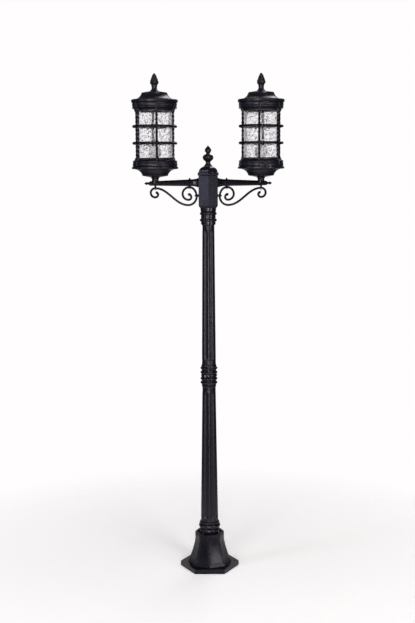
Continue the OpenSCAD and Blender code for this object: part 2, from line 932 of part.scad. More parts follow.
module arm_point() {
    turned([
        [0, 0], [arm_end_h / 2 - 0.8, 0], [arm_end_h / 2 - 1.6, point_len * 0.06],
        [4.8, point_len * 0.24], [5.2, point_len * 0.36], [6.8, point_len * 0.56],
        [6.3, point_len * 0.68], [3.2, point_len * 0.87], [0.5, point_len], [0, point_len]
    ]);
}

module arm() {
    flange_end = hub_face + flange_t;
    flare_end = flange_end + flare_len;
    end_z = arm_z - arm_drop;
    difference() {
        union() {
            arm_prism(hub_face, flange_end, arm_z, flange_h);
            hull() {
                arm_section(flange_end, arm_z, flange_h - 4);
                arm_section(flare_end, arm_z, arm_root_h);
            }
            hull() {
                arm_section(flare_end - 0.1, arm_z, arm_root_h);
                arm_section(arm_end_x, end_z, arm_end_h);
            }
            arm_prism(band_x - band_len / 2, band_x + band_len / 2, arm_z, band_h);
            arm_prism(band_x - band_len / 2 - band_bead_len, band_x + band_len / 2 + band_bead_len,
                arm_z, band_h - 2 * band_bead_drop);
            for (side = [-1, 1])
                translate([band_x, side * band_h / 2, arm_z])
                    rotate([-90 * side, 0, 0])
                        cylinder(r1 = 6, r2 = 0.6, h = 3, $fn = 4);
            translate([arm_end_x, 0, end_z])
                rotate([0, 90, 0])
                    arm_point();
            translate([lantern_x, 0, end_z])
                cylinder(r = seat_r, h = arm_drop + seat_rise);
            translate([lantern_x, 0, spacer_low_z + outer_spacer_h])
                cylinder(r = clip_r + 1.4, h = arm_end_h / 2);
            translate([hub_inner - arm_nut_h - 1, 0, arm_z])
                rotate([0, 90, 0])
                    cylinder(r = arm_tenon_r, h = hub_wall + arm_nut_h + 2);
        }
        translate([lantern_x, 0, seat_z - nipple_depth])
            cylinder(r = nipple_r + fit, h = nipple_depth + overcut);
        translate([lantern_x, 0, spacer_low_z])
            cylinder(r = small_screw_r + fit, h = outer_spacer_h + 4.5);
        translate([band_x, 0, band_low_z - overcut])
            cylinder(r = small_screw_r + fit, h = overcut + 8.5);
        translate([band_x, 0, arm_z + band_h / 2 - 6])
            cylinder(r = small_screw_r + fit, h = 6 + overcut);
        translate([hub_inner - arm_nut_h - 2, 0, arm_z])
            rotate([0, 90, 0])
                cylinder(r = arm_wire_r, h = lantern_x - hub_inner + arm_nut_h + 2);
    }
}

module left_arm() {
    color(black_paint)
        mirror([1, 0, 0])
            arm();
}

module right_arm() {
    color(black_paint)
        arm();
}

module arm_nuts() {
    color(zinc)
        both_sides()
            translate([hub_inner - arm_nut_h, 0, arm_z])
                rotate([0, 90, 0])
                    difference() {
                        hexagon_bar(arm_nut_across, arm_nut_h);
                        translate([0, 0, -overcut])
                            cylinder(r = arm_tenon_r + fit, h = arm_nut_h + 2 * overcut);
                    }
}

module band_knobs() {
    color(black_paint)
        both_sides()
            translate([band_x, 0, arm_z + band_h / 2]) {
                turned([[0, 0], [3, 0], [4.2, 1.8], [3.2, 3.6], [0.4, 6], [0, 6]]);
                translate([0, 0, -5.5])
                    cylinder(r = small_screw_r, h = 6);
            }
}

// Lanterns

// Places its children on the seat of the left (-1) or right (1) arm, turned with its cage
module on_arm(side) {
    translate([side * lantern_x, 0, seat_z])
        rotate([0, 0, -90 - side * cage_turn])
            children();
}

module stem(side) {
    outline = concat(
        [[0, 0], [stem_foot_r, 0], [stem_foot_r, 2]],
        cove([stem_top_r + 1, 3], stem_top_r + 1 - stem_foot_r + 1, stem_h - 4.5, 0, 75),
        [[stem_top_r, stem_h - 1], [stem_top_r, stem_h], [0, stem_h]]
    );
    color(black_paint)
        on_arm(side)
            difference() {
                turned(outline);
                translate([0, 0, -overcut])
                    cylinder(r = nipple_r + fit, h = stem_h + 2 * overcut);
            }
}

// Half of a lantern's closed end, standing on its small face at z = 0: shared by bowl and roof
function shell_outline(h, mouth_h, floor_h) =
    let (
        rise = h - mouth_h,
        inner_from = asin(floor_h / (rise + shell_t)),
        inner_to = acos((cove_r - mouth_inner_r()) / (cove_w + shell_t))
    )
    concat(
        [[0, 0], [stem_top_r, 0]],
        cove([cove_r, 0], cove_w, rise, 11, 90),
        [[rim_r - 3, rise], [rim_r, rise + 2.5], [rim_r, h - 1.5], [rim_r - 1.2, h], [mouth_inner_r(), h]],
        reverse(cove([cove_r, 0], cove_w + shell_t, rise + shell_t, inner_from, inner_to)),
        [[0, floor_h]]
    );

function mouth_inner_r() = ring_r - ring_wall - 2;

module bowl(side) {
    color(black_paint)
        on_arm(side)
            translate([0, 0, bowl_rise])
                difference() {
                    turned(shell_outline(bowl_h, rim_h, bowl_floor));
                    translate([0, 0, -overcut])
                        cylinder(r = nipple_r + fit, h = bowl_floor + 2 * overcut);
                    ring_screw_places()
                        translate([0, 0, bowl_h - rim_h - overcut]) {
                            cylinder(r = ring_screw_r + fit, h = rim_h + 2 * overcut);
                            cylinder(r = ring_screw_head_r + fit, h = overcut + 3);
                        }
                }
}

module ring_screw_places() {
    for (k = [0:ring_screw_count - 1])
        rotate([0, 0, ring_screw_turn + k * 360 / ring_screw_count])
            translate([ring_screw_circle_r, 0, 0])
                children();
}

module bowl_screws() {
    color(zinc)
        for (side = [-1, 1])
            on_arm(side)
                translate([0, 0, lower_ring_rise - rim_h + 3])
                    ring_screw_places()
                        mirror([0, 0, 1])
                            pan_screw(ring_screw_r, rim_h + 4, ring_screw_head_r, 2.6);
}

module nipple(side) {
    h = nipple_depth + holder_rise + 8;
    color(zinc)
        on_arm(side)
            translate([0, 0, -nipple_depth])
                difference() {
                    cylinder(r = nipple_r, h = h);
                    translate([0, 0, -overcut])
                        cylinder(r = nipple_bore_r, h = h + 2 * overcut);
                }
}

module nipple_nuts() {
    color(zinc)
        for (side = [-1, 1])
            on_arm(side)
                translate([0, 0, bowl_rise + bowl_floor])
                    difference() {
                        hexagon_bar(nipple_nut_across, nipple_nut_h);
                        translate([0, 0, -overcut])
                            cylinder(r = nipple_r + fit, h = nipple_nut_h + 2 * overcut);
                    }
}

module lampholder(side) {
    color(white_ceramic)
        on_arm(side)
            translate([0, 0, holder_rise])
                difference() {
                    turned([
                        [0, 0], [holder_foot_r, 0], [holder_foot_r, 10], [holder_r - 1.5, 15],
                        [holder_r - 1.5, 24], [holder_r, 26], [holder_r, holder_h - 1],
                        [holder_r - 1, holder_h], [0, holder_h]
                    ]);
                    translate([0, 0, -overcut])
                        cylinder(r = nipple_r + fit, h = 9 + overcut);
                    translate([0, 0, holder_base])
                        cylinder(r = bulb_cap_r + turn_fit, h = holder_h);
                    cylinder(r = nipple_bore_r, h = holder_base + overcut);
                }
}

module bulb(side) {
    collar_z = holder_h - holder_base + lift_gap;
    globe_z = bulb_len - bulb_r;
    neck_r = bulb_cap_r + 1.6;
    globe = [
        for (i = [0:2 * curve_steps])
            let (a = -48 + 138 * i / (2 * curve_steps))
            [bulb_r * cos(a), globe_z + bulb_r * sin(a)]
    ];
    color(white_ceramic)
        on_arm(side)
            translate([0, 0, holder_rise + holder_base + lift_gap])
                turned(concat(
                    [[0, 0], [4, 0], [5, 2], [bulb_cap_r - 2, 3.5], [bulb_cap_r, 5.5]],
                    [[bulb_cap_r, collar_z], [neck_r, collar_z + 1], [neck_r, collar_z + 5]],
                    globe
                ));
}

// Moulded ring that carries glass and bars, standing with its wide face on z = 0
module gallery_ring() {
    inner = ring_r - ring_wall;
    outline = concat(
        [[inner, 0], [ring_r - 1.5, 0]],
        bead(9.5, 6.8, ring_r - 1, ring_r),
        [[ring_r - 2.2, 17.5]],
        bead(21.5, 3, ring_r - 2.2, ring_r - 0.8),
        cove([ring_r + 4, ring_h - 3], ring_r + 4 - ring_mouth_r, ring_h - 29, -78, 0),
        [[ring_mouth_r, ring_h], [glass_r + glass_room, ring_h]],
        [[glass_r + glass_room, ledge_rise + ledge_t], [ledge_r, ledge_rise + ledge_t]],
        [[ledge_r, ledge_rise], [inner, ledge_rise]]
    );
    turned(outline);
    for (k = [0:bar_count - 1])
        rotate([0, 0, k * 360 / bar_count]) {
            translate([ring_r - 1.5, 0, 3.5])
                cylinder(r = rib_r, h = 20);
            translate([bar_circle_r, 0, ring_h - bar_boss_h])
                cylinder(r = bar_boss_r, h = bar_boss_h);
        }
}

module lower_ring(side) {
    color(black_paint)
        on_arm(side)
            translate([0, 0, lower_ring_rise])
                difference() {
                    gallery_ring();
                    ring_screw_places()
                        translate([0, 0, -overcut])
                            cylinder(r = ring_screw_r + fit, h = 9 + overcut);
                }
}

module upper_ring(side) {
    color(black_paint)
        on_arm(side)
            translate([0, 0, upper_ring_rise + ring_h])
                mirror([0, 0, 1])
                    difference() {
                        gallery_ring();
                        strap_screw_places()
                            translate([0, 0, ledge_rise - overcut])
                                cylinder(r = ring_screw_r + fit, h = 6.5 + overcut);
                    }
}

module strap_screw_places() {
    for (k = [0:1])
        rotate([0, 0, 90 + 180 * k])
            translate([strap_screw_r, 0, 0])
                children();
}

module glass_seals(side) {
    ledge = lower_ring_rise + ledge_rise + ledge_t;
    upper_ledge = upper_ring_rise + ring_h - ledge_rise - ledge_t;
    color(seal_rubber)
        on_arm(side)
            for (rise = [ledge, upper_ledge - seal_t])
                translate([0, 0, rise])
                    difference() {
                        cylinder(r = glass_r + glass_room / 2, h = seal_t);
                        translate([0, 0, -overcut])
                            cylinder(r = ledge_r + 1, h = seal_t + 2 * overcut);
                    }
}

module glass(side) {
    foot = lower_ring_rise + ledge_rise + ledge_t + seal_t;
    h = upper_ring_rise + ring_h - ledge_rise - ledge_t - seal_t - foot;
    color(clear_glass)
        on_arm(side)
            translate([0, 0, foot])
                difference() {
                    cylinder(r = glass_r, h = h);
                    translate([0, 0, -overcut])
                        cylinder(r = glass_r - glass_t, h = h + 2 * overcut);
                }
}

module twisted_bar() {
    linear_extrude(height = cage_h, twist = 360 * bar_turns, slices = twist_steps * bar_turns, segments = 4)
        square(bar_w, center = true);
}

module cage_bars(side) {
    color(black_steel)
        on_arm(side)
            for (k = [0:bar_count - 1])
                rotate([0, 0, k * 360 / bar_count])
                    translate([bar_circle_r, 0, cage_rise])
                        rotate([0, 0, 180 * bar_turns])
                            twisted_bar();
}

// Twisted square bar bent into a closed hoop, flattened inside where it laps over each cage bar
module twisted_hoop() {
    steps = round(hoop_turns) * hoop_twist_steps;
    corners = 4;
    pitch = 360 / bar_count;
    lap_r = bar_circle_r + bar_reach + fit;
    lap_turn = asin((bar_reach + fit) / bar_circle_r) + 360 / steps;
    points = [
        for (i = [0:steps - 1])
            for (j = [0:corners - 1])
                let (
                    a = 360 * i / steps,
                    t = 90 * j + 360 * i / hoop_twist_steps,
                    off_bar = abs((a + pitch / 2) % pitch - pitch / 2),
                    plain_r = hoop_circle_r + hoop_reach * cos(t),
                    r = off_bar < lap_turn ? max(plain_r, lap_r) : plain_r
                )
                [r * cos(a), r * sin(a), hoop_reach * sin(t)]
    ];
    faces = [
        for (i = [0:steps - 1])
            for (j = [0:corners - 1])
                let (a = i * corners, b = (i + 1) % steps * corners, k = (j + 1) % corners)
                for (face = [[a + j, b + j, b + k], [a + j, b + k, a + k]])
                    face
    ];
    polyhedron(points, faces);
}

module cage_hoops(side) {
    color(black_steel)
        on_arm(side)
            for (step = [-1, 1])
                translate([0, 0, cage_rise + cage_h / 2 + step * hoop_gap / 2])
                    twisted_hoop();
}

module roof_strap(side) {
    color(zinc)
        on_arm(side)
            translate([0, 0, strap_rise()])
                difference() {
                    translate([-strap_w / 2, -strap_end_r, 0])
                        cube([strap_w, 2 * strap_end_r, strap_t]);
                    translate([0, 0, -overcut])
                        cylinder(r = roof_stud_r + fit, h = strap_t + 2 * overcut);
                    strap_screw_places()
                        translate([0, 0, -overcut])
                            cylinder(r = ring_screw_r + fit, h = strap_t + 2 * overcut);
                }
}

function strap_rise() = upper_ring_rise + ring_h - ledge_rise;

module strap_screws() {
    color(zinc)
        for (side = [-1, 1])
            on_arm(side)
                translate([0, 0, strap_rise() + strap_t])
                    strap_screw_places()
                        pan_screw(ring_screw_r, strap_t + 6, ring_screw_head_r, 2.6);
}

module roof_stud(side) {
    color(zinc)
        on_arm(side)
            translate([0, 0, strap_rise()])
                cylinder(r = roof_stud_r, h = roof_finial_rise + roof_stud_reach - strap_rise());
}

module roof(side) {
    lip_r = ring_r - ring_wall - 2 * lift_gap;
    color(black_paint)
        on_arm(side)
            translate([0, 0, roof_rise])
                difference() {
                    union() {
                        turned(flip(shell_outline(roof_h, roof_rim_h, bowl_floor), roof_h));
                        turned([
                            [mouth_inner_r() - 1, -roof_lip_h], [lip_r, -roof_lip_h], [lip_r, 3],
                            [mouth_inner_r() - 1, 6]
                        ]);
                    }
                    translate([0, 0, -overcut])
                        cylinder(r = roof_stud_r + turn_fit, h = roof_h + 2 * overcut);
                }
}

module roof_finial(side) {
    h = roof_finial_h;
    outline = concat(
        [[0, 0], [19.8, 0], [19, 2]],
        cove([20, 12.5], 7.9, 10.5, -85, 0),
        [
            [12.4, 17], [13.4, 23], [12.6, 25], [16, 29], [19, 34], [19.7, 38], [18.9, 43],
            [16.7, 49.5], [13.9, 57], [11.4, 63.5], [8.2, 71], [4.6, h - 3], [1.2, h]
        ],
        [[0, h]]
    );
    color(black_paint)
        on_arm(side)
            translate([0, 0, roof_finial_rise])
                difference() {
                    turned(outline);
                    translate([0, 0, -overcut])
                        cylinder(r = roof_stud_r + turn_fit, h = roof_stud_reach + overcut);
                }
}

base_casting();
base_collar();
base_set_screws();
lower_post();
mid_collar();
mid_set_screws();
upper_post();
top_collar();
top_set_screws();
hub_locknut();
arm_hub();
hub_bridge();
hub_stud();
bridge_screws();
terminal_block();
hub_cap();
hub_finial();
left_arm();
right_arm();
arm_nuts();
band_knobs();
left_scroll();
right_scroll();
scroll_spacers();
scroll_screws();
hub_scroll_screws();
stem(-1);  // left_stem
stem(1);  // right_stem
bowl(-1);  // left_bowl
bowl(1);  // right_bowl
bowl_screws();
nipple(-1);  // left_nipple
nipple(1);  // right_nipple
nipple_nuts();
lampholder(-1);  // left_lampholder
lampholder(1);  // right_lampholder
bulb(-1);  // left_bulb
bulb(1);  // right_bulb
lower_ring(-1);  // left_lower_ring
lower_ring(1);  // right_lower_ring
glass_seals(-1);  // left_glass_seals
glass_seals(1);  // right_glass_seals
glass(-1);  // left_glass
glass(1);  // right_glass
cage_bars(-1);  // left_cage_bars
cage_bars(1);  // right_cage_bars
cage_hoops(-1);  // left_cage_hoops
cage_hoops(1);  // right_cage_hoops
upper_ring(-1);  // left_upper_ring
upper_ring(1);  // right_upper_ring
roof_strap(-1);  // left_roof_strap
roof_strap(1);  // right_roof_strap
strap_screws();
roof_stud(-1);  // left_roof_stud
roof_stud(1);  // right_roof_stud
roof(-1);  // left_roof
roof(1);  // right_roof
roof_finial(-1);  // left_roof_finial
roof_finial(1);  // right_roof_finial
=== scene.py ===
"""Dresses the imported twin-lantern lamp post: paint, scrolls, glass, hoops, finials, stage and camera."""

import json
import math

import bmesh
import bpy
from mathutils import Matrix, Vector
from mathutils import noise


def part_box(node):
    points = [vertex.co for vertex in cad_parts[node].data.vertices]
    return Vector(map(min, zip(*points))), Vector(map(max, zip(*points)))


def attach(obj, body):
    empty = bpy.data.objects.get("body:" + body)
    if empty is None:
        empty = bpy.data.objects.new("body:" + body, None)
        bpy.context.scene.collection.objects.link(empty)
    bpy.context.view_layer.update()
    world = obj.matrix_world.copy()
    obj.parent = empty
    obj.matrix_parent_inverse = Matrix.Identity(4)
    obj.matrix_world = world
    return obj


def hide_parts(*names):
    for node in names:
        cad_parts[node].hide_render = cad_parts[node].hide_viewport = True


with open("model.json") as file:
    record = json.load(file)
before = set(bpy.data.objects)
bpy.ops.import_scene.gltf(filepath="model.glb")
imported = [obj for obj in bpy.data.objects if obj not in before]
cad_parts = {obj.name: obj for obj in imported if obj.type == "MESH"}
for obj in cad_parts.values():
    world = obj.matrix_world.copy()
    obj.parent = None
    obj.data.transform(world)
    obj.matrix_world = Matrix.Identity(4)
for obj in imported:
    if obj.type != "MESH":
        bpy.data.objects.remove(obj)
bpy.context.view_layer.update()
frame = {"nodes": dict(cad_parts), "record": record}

bl_info = {
    "name": "Twin-lantern lamp post",
    "version": (1, 0, 0),
    "blender": (4, 5, 0),
    "location": "3D View > Sidebar > Lamp Post",
    "description": "Finishes a twin-lantern lamp post and its studio",
    "category": "Object",
}

SIDES = ("left", "right")
NODES = frame["nodes"]

# The photograph's frame, in pixels, and the camera's long side, in millimetres
IMAGE_WIDTH = 415
IMAGE_HEIGHT = 623
SENSOR_LONG_SIDE = 36.0

# Points this near are one point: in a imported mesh, and in a new skin that closes on itself
PACKED_GAP = 1e-6
SKIN_GAP = 1e-7

# The sharpest bend that still shades smoothly
METAL_CREASE = math.radians(32.0)
CARVING_CREASE = math.radians(40.0)
GLASS_CREASE = math.radians(50.0)
SEAM_CREASE = math.radians(20.0)

# The span in which most of a noise falls
NOISE_SPAN = (0.3, 0.7)

# How alike the rounded and the flat normal are where an edge begins, and where its paler colour is full
EDGE_SPAN = (0.99, 0.8)

# Sizes of the clouds, paler edge patches (rubbed paint and painted sheen) and dull patches in paint,
# the share of noise that turns edges paler, and the pebbling's depth in grains
PAINT_CLOUD = 0.12
WEAR_AND_SHEEN_PATCH = 0.02
WEAR_AND_SHEEN_SPAN = (0.42, 0.68)
WEAR_AND_SHEEN_MOST = 0.75
DULL_PATCH = 0.035
PEBBLE_DEPTH = 0.05

# Height over which the bell's soft arrises fade into crisp edges
BELL_FADE = 0.012

# Sizes of the clouds, dull patches and scratches in zinc plate, and the scratches' depth
ZINC_CLOUD = 0.006
ZINC_DULL_PATCH = 0.002
ZINC_SCRATCH = 0.0008
ZINC_SCRATCH_DEPTH = 0.0001

# Sizes of the clouds and dull patches in mouldings, their pebbling's depth in grains,
# and the refraction of an opal one
MOULDING_CLOUD = 0.02
MOULDING_DULL_PATCH = 0.01
MOULDING_PEBBLE_DEPTH = 0.1
OPAL_IOR = 1.2

# Sizes of the glass's dark specks of painted shade and of its ripple, in dimples, the share of noise that
# is a dark speck of painted shade, the size of the dull patches and the ripple's depth
SHADE_FLECK_SIZE = 0.8
RIPPLE_SIZE = 0.5
SHADE_FLECK_SPAN = (0.595, 0.62)
GLASS_DULL_PATCH = 0.01
RIPPLE_DEPTH = 0.0008

# Places of the two colours and of the result among a colour Mix node's sockets
MIX_COLOURS = (6, 7)
MIX_RESULT = 2


# Settings

def colour_property(name, description, default):
    return bpy.props.FloatVectorProperty(
        name=name, description=description, default=default, subtype="COLOR", size=3, min=0.0, max=1.0)


def length_property(name, description, default):
    return bpy.props.FloatProperty(
        name=name, description=description, default=default, unit="LENGTH", precision=5)


def factor_property(name, description, default):
    return bpy.props.FloatProperty(
        name=name, description=description, default=default, subtype="FACTOR", min=0.0, max=1.0)


def power_property(name, description, default):
    return bpy.props.FloatProperty(name=name, description=description, default=default, unit="POWER")


def angle_property(name, description, degrees):
    return bpy.props.FloatProperty(
        name=name, description=description, default=math.radians(degrees), subtype="ANGLE")


def number_property(name, description, default):
    return bpy.props.FloatProperty(name=name, description=description, default=default)


def count_property(name, description, default):
    return bpy.props.IntProperty(name=name, description=description, default=default)


class LampPostPaint(bpy.types.PropertyGroup):
    """Colours and surface of the painted and plated metal."""

    casting: colour_property("Casting paint", "Powder coat on the cast pieces", (0.0052, 0.0044, 0.0088))
    steel: colour_property("Bar paint", "Paint on arms, bars, hoops and scrolls", (0.0034, 0.0029, 0.0054))
    # Edges turn to this paler colour: partly rubbed paint, partly a painted sheen
    worn_and_sheen: colour_property("Edge wear", "Colour that the paint rubs to along edges", (0.055, 0.052, 0.062))
    sheen: colour_property("Sheen tint", "Tint of the paint's gloss", (1.0, 0.9, 1.0))
    zinc: colour_property("Zinc plate", "Bright plated screws, nuts and studs", (0.66, 0.67, 0.69))
    roughness: factor_property("Paint roughness", "Roughness of the paint on other castings", 0.27)
    bell_roughness: factor_property("Bell roughness", "Roughness of the paint on the base", 0.28)
    lantern_roughness: factor_property("Lantern roughness", "Roughness of the paint on the lanterns", 0.36)
    tube_roughness: factor_property("Tube roughness", "Roughness of the paint on the posts' tubes", 0.37)
    bar_roughness: factor_property("Bar roughness", "Roughness of the paint on arms, bars and scrolls", 0.15)
    gloss: factor_property("Paint gloss", "Specular level of the satin paint", 0.4)
    grain: length_property("Paint grain", "Size of the coat's fine pebbling", 0.0022)
    edge: length_property("Edge softness", "Radius that the paint rounds over edges", 0.0011)
    arris: length_property("Bell softness", "Radius that rounds the bell's arrises", 0.024)


class LampPostGlass(bpy.types.PropertyGroup):
    """Sizes and tint of the hammered glass."""

    tint: colour_property("Glass tint", "Tint of the clear glass", (0.985, 0.98, 0.99))
    # This tint is painted shade: dark specks in the glass's colour that stand in for the shade hammered
    # glass shows
    shade_fleck: colour_property("Fleck tint", "Tint of the dark flecks in the glass", (0.06, 0.06, 0.07))
    depth: length_property("Hammer depth", "Depth of the hammered dimples", 0.0009)
    dimple: length_property("Dimple size", "Spacing of the hammered dimples", 0.0075)
    wall: length_property("Glass wall", "Thickness of the glass", 0.003)
    ior: number_property("Refraction", "Index of refraction", 1.14)


class LampPostBars(bpy.types.PropertyGroup):
    """Sizes of the twisted hoops and the scrolls."""

    hoop_half: length_property("Hoop half side", "Half the side of the square hoop", 0.0046)
    hoop_corner: number_property("Hoop corner", "Reach of the eased corners in half sides", 1.36)
    hoop_turns: count_property("Hoop turns", "Turns of twist round a hoop", 11)
    hoop_steps: count_property("Hoop steps", "Sections round a hoop", 352)
    hoop_corners: count_property("Section points", "Points round a section", 16)
    scroll_fullness: length_property("Scroll fullness", "Length that each face of a scroll grows by", 0.001)


class LampPostFinials(bpy.types.PropertyGroup):
    """Counts and depths of the finials' carving."""

    scales: count_property("Bud scales", "Scales round a roof finial", 7)
    rows: count_property("Bud rows", "Half rows of scales up a roof finial", 7)
    scale_depth: length_property("Scale depth", "Depth of the cuts between scales", 0.0019)
    petals: count_property("Urn petals", "Petals round the hub's finial", 8)
    petal_depth: length_property("Petal depth", "Depth of the cuts between petals", 0.0018)


class LampPostStage(bpy.types.PropertyGroup):
    """The studio and the camera."""

    floor: colour_property("Floor", "Colour of the studio floor", (0.94, 0.9, 0.885))
    backdrop: colour_property("Backdrop", "Colour of the studio backdrop", (1.0, 0.985, 0.985))
    ambient: number_property("Ambient", "Strength of the studio's even light", 0.08)
    lift: number_property("Floor lift", "Brightness added to the floor as it is seen", 0.355)
    key: power_property("Key", "Power of the soft box on the left", 16.0)
    front: power_property("Front", "Power of the soft box left of the camera", 60.0)
    post: power_property("Post", "Power of the soft box under the camera", 66.0)
    cap: power_property("Cap", "Power of the soft box high on the left", 28.0)
    fill: power_property("Fill", "Power of the soft box on the right", 4.0)
    low: power_property("Bell", "Power of the soft box that lights the bell", 32.0)
    back: power_property("Back", "Power of the soft box high behind the post", 44.0)
    top: power_property("Top", "Power of the soft box high on the right", 48.0)
    distance: length_property("Camera distance", "Distance from the post to the camera", 4.86)
    height: length_property("Camera height", "Height of the camera", 1.855)
    offset: length_property("Camera offset", "Sideways offset of the camera", -0.0055)
    pitch: angle_property("Camera pitch", "Downward tilt", 7.45)
    roll: angle_property("Camera roll", "Turn about the line of sight", -0.25)
    focal_pixels: number_property("Focal length", "Focal length in pixels of the photograph's frame", 1060.0)


# Material building

def combined(tree, operation, first, second):
    """A Math node over two sockets of a node tree."""
    node = tree.nodes.new("ShaderNodeMath")
    node.operation = operation
    tree.links.new(first, node.inputs[0])
    tree.links.new(second, node.inputs[1])
    return node.outputs[0]


class Surface:
    """A node material with a Principled shader, and short ways to add nodes to it."""

    def __init__(self, name):
        self.material = bpy.data.materials.new(name)
        self.material.use_nodes = True
        self.tree = self.material.node_tree
        self.tree.nodes.clear()
        self.shader = self.add("ShaderNodeBsdfPrincipled")
        self.output = self.add("ShaderNodeOutputMaterial")
        self.link(self.shader.outputs["BSDF"], self.output.inputs["Surface"])
        self.place = self.add("ShaderNodeTexCoord").outputs["Object"]

    def add(self, kind, **settings):
        node = self.tree.nodes.new(kind)
        for name, value in settings.items():
            setattr(node, name, value)
        return node

    def link(self, source, target):
        self.tree.links.new(source, target)

    def set(self, **values):
        """Sets the shader's sockets by name, with _ for a space."""
        for name, value in values.items():
            self.shader.inputs[name.replace("_", " ")].default_value = value

    def feed(self, **sources):
        """Links sockets to the shader's own by name, with _ for a space."""
        for name, source in sources.items():
            self.link(source, self.shader.inputs[name.replace("_", " ")])

    def noise(self, size, detail=3.0, roughness=0.55):
        """Noise whose features are about size metres across."""
        node = self.add("ShaderNodeTexNoise")
        node.inputs["Scale"].default_value = 1.0 / size
        node.inputs["Detail"].default_value = detail
        node.inputs["Roughness"].default_value = roughness
        self.link(self.place, node.inputs["Vector"])
        return node.outputs["Fac"]

    def mottle(self, size, detail, low=0.0, high=1.0):
        """Noise spread out to run from low to high."""
        return self.remap(self.noise(size, detail), *NOISE_SPAN, low, high)

    def remap(self, value, low, high, to_low=0.0, to_high=1.0):
        node = self.add("ShaderNodeMapRange")
        for name, number in (("From Min", low), ("From Max", high), ("To Min", to_low), ("To Max", to_high)):
            node.inputs[name].default_value = number
        self.link(value, node.inputs["Value"])
        return node.outputs["Result"]

    def blend(self, factor, first, second):
        """Mixes two colours, each a socket or three numbers."""
        node = self.add("ShaderNodeMix", data_type="RGBA")
        self.link(factor, node.inputs["Factor"])
        for value, socket in zip((first, second), MIX_COLOURS):
            if isinstance(value, bpy.types.NodeSocket):
                self.link(value, node.inputs[socket])
            else:
                node.inputs[socket].default_value = (*value, 1.0)
        return node.outputs[MIX_RESULT]

    def times(self, first, second):
        return combined(self.tree, "MULTIPLY", first, second)

    def bump(self, height, strength, distance, normal=None):
        node = self.add("ShaderNodeBump")
        node.inputs["Strength"].default_value = strength
        node.inputs["Distance"].default_value = distance
        self.link(height, node.inputs["Height"])
        if normal:
            self.link(normal, node.inputs["Normal"])
        return node.outputs["Normal"]

    def rounded(self, radius):
        """The normal rounded over edges by a length or a socket."""
        bevel = self.add("ShaderNodeBevel", samples=4)
        if isinstance(radius, bpy.types.NodeSocket):
            self.link(radius, bevel.inputs["Radius"])
        else:
            bevel.inputs["Radius"].default_value = radius
        return bevel.outputs["Normal"]

    def on_edges(self, rounded):
        """One on edges, where the rounded normal departs from the flat one, and nought elsewhere."""
        flat = self.add("ShaderNodeNewGeometry")
        likeness = self.add("ShaderNodeVectorMath", operation="DOT_PRODUCT")
        self.link(rounded, likeness.inputs[0])
        self.link(flat.outputs["Normal"], likeness.inputs[1])
        return self.remap(likeness.outputs["Value"], *EDGE_SPAN)


def shaded(colour, factor):
    return tuple(min(1.0, channel * factor) for channel in colour)


def bell_softness(surface, bell, paint):
    """Radius of the edges: broad between the two heights of bell, and fine below and above them."""
    foot, top = bell
    split = surface.add("ShaderNodeSeparateXYZ")
    surface.link(surface.place, split.inputs["Vector"])
    height = split.outputs["Z"]
    above = surface.remap(height, foot, foot + BELL_FADE, paint.edge, paint.arris)
    below = surface.remap(height, top - BELL_FADE, top, 1.0, paint.edge / paint.arris)
    return surface.times(above, below)


def satin_paint(name, colour, paint, roughness, bell=None, pebbling=0.05, gloss=1.0):
    """Satin paint with faint pebbling, cloudy tone and edges a little paler, partly rubbed and partly a
    painted sheen.

    Between the two heights of bell, the casting's arrises are broadly rounded.
    """
    surface = Surface(name)
    normal = surface.rounded(bell_softness(surface, bell, paint) if bell else paint.edge)
    tone = surface.blend(surface.mottle(PAINT_CLOUD, 4.0), shaded(colour, 0.75), shaded(colour, 1.3))
    patches = surface.remap(surface.noise(WEAR_AND_SHEEN_PATCH, 5.0), *WEAR_AND_SHEEN_SPAN, 0.0, WEAR_AND_SHEEN_MOST)
    # Paler edges in random patches: partly rubbed paint, partly a painted sheen along the edges
    wear_and_sheen = surface.times(surface.on_edges(normal), patches)
    pebble = surface.noise(paint.grain, 2.0, 0.5)
    surface.feed(
        Base_Color=surface.blend(wear_and_sheen, tone, tuple(paint.worn_and_sheen)),
        Roughness=surface.mottle(DULL_PATCH, 5.0, roughness - 0.02, roughness + 0.03),
        Normal=surface.bump(pebble, pebbling, paint.grain * PEBBLE_DEPTH, normal),
    )
    surface.set(Specular_IOR_Level=paint.gloss * gloss, Specular_Tint=(*paint.sheen, 1.0))
    return surface.material


def bright_plate(name, colour, edge):
    """Bright zinc plate with cloudy tone, fine scratches and edges rounded by a length."""
    surface = Surface(name)
    cloud = surface.mottle(ZINC_CLOUD, 4.0)
    scratches = surface.noise(ZINC_SCRATCH, 3.0)
    surface.feed(
        Base_Color=surface.blend(cloud, shaded(colour, 0.82), shaded(colour, 1.1)),
        Roughness=surface.mottle(ZINC_DULL_PATCH, 5.0, 0.36, 0.52),
        Normal=surface.bump(scratches, 0.15, ZINC_SCRATCH_DEPTH, surface.rounded(edge)),
    )
    surface.set(Metallic=1.0)
    return surface.material


def plain_moulding(name, colour, roughness, grain, clear):
    """Glaze, plastic, rubber or opal: a faintly clouded colour with fine pebbling, clear by a share."""
    surface = Surface(name)
    cloud = surface.mottle(MOULDING_CLOUD, 4.0)
    surface.feed(
        Base_Color=surface.blend(cloud, shaded(colour, 0.9), shaded(colour, 1.04)),
        Roughness=surface.mottle(MOULDING_DULL_PATCH, 3.0, roughness * 0.8, roughness * 1.2),
        Normal=surface.bump(surface.noise(grain), 0.1, grain * MOULDING_PEBBLE_DEPTH),
    )
    if clear:
        surface.set(Transmission_Weight=clear, IOR=OPAL_IOR)
    return surface.material


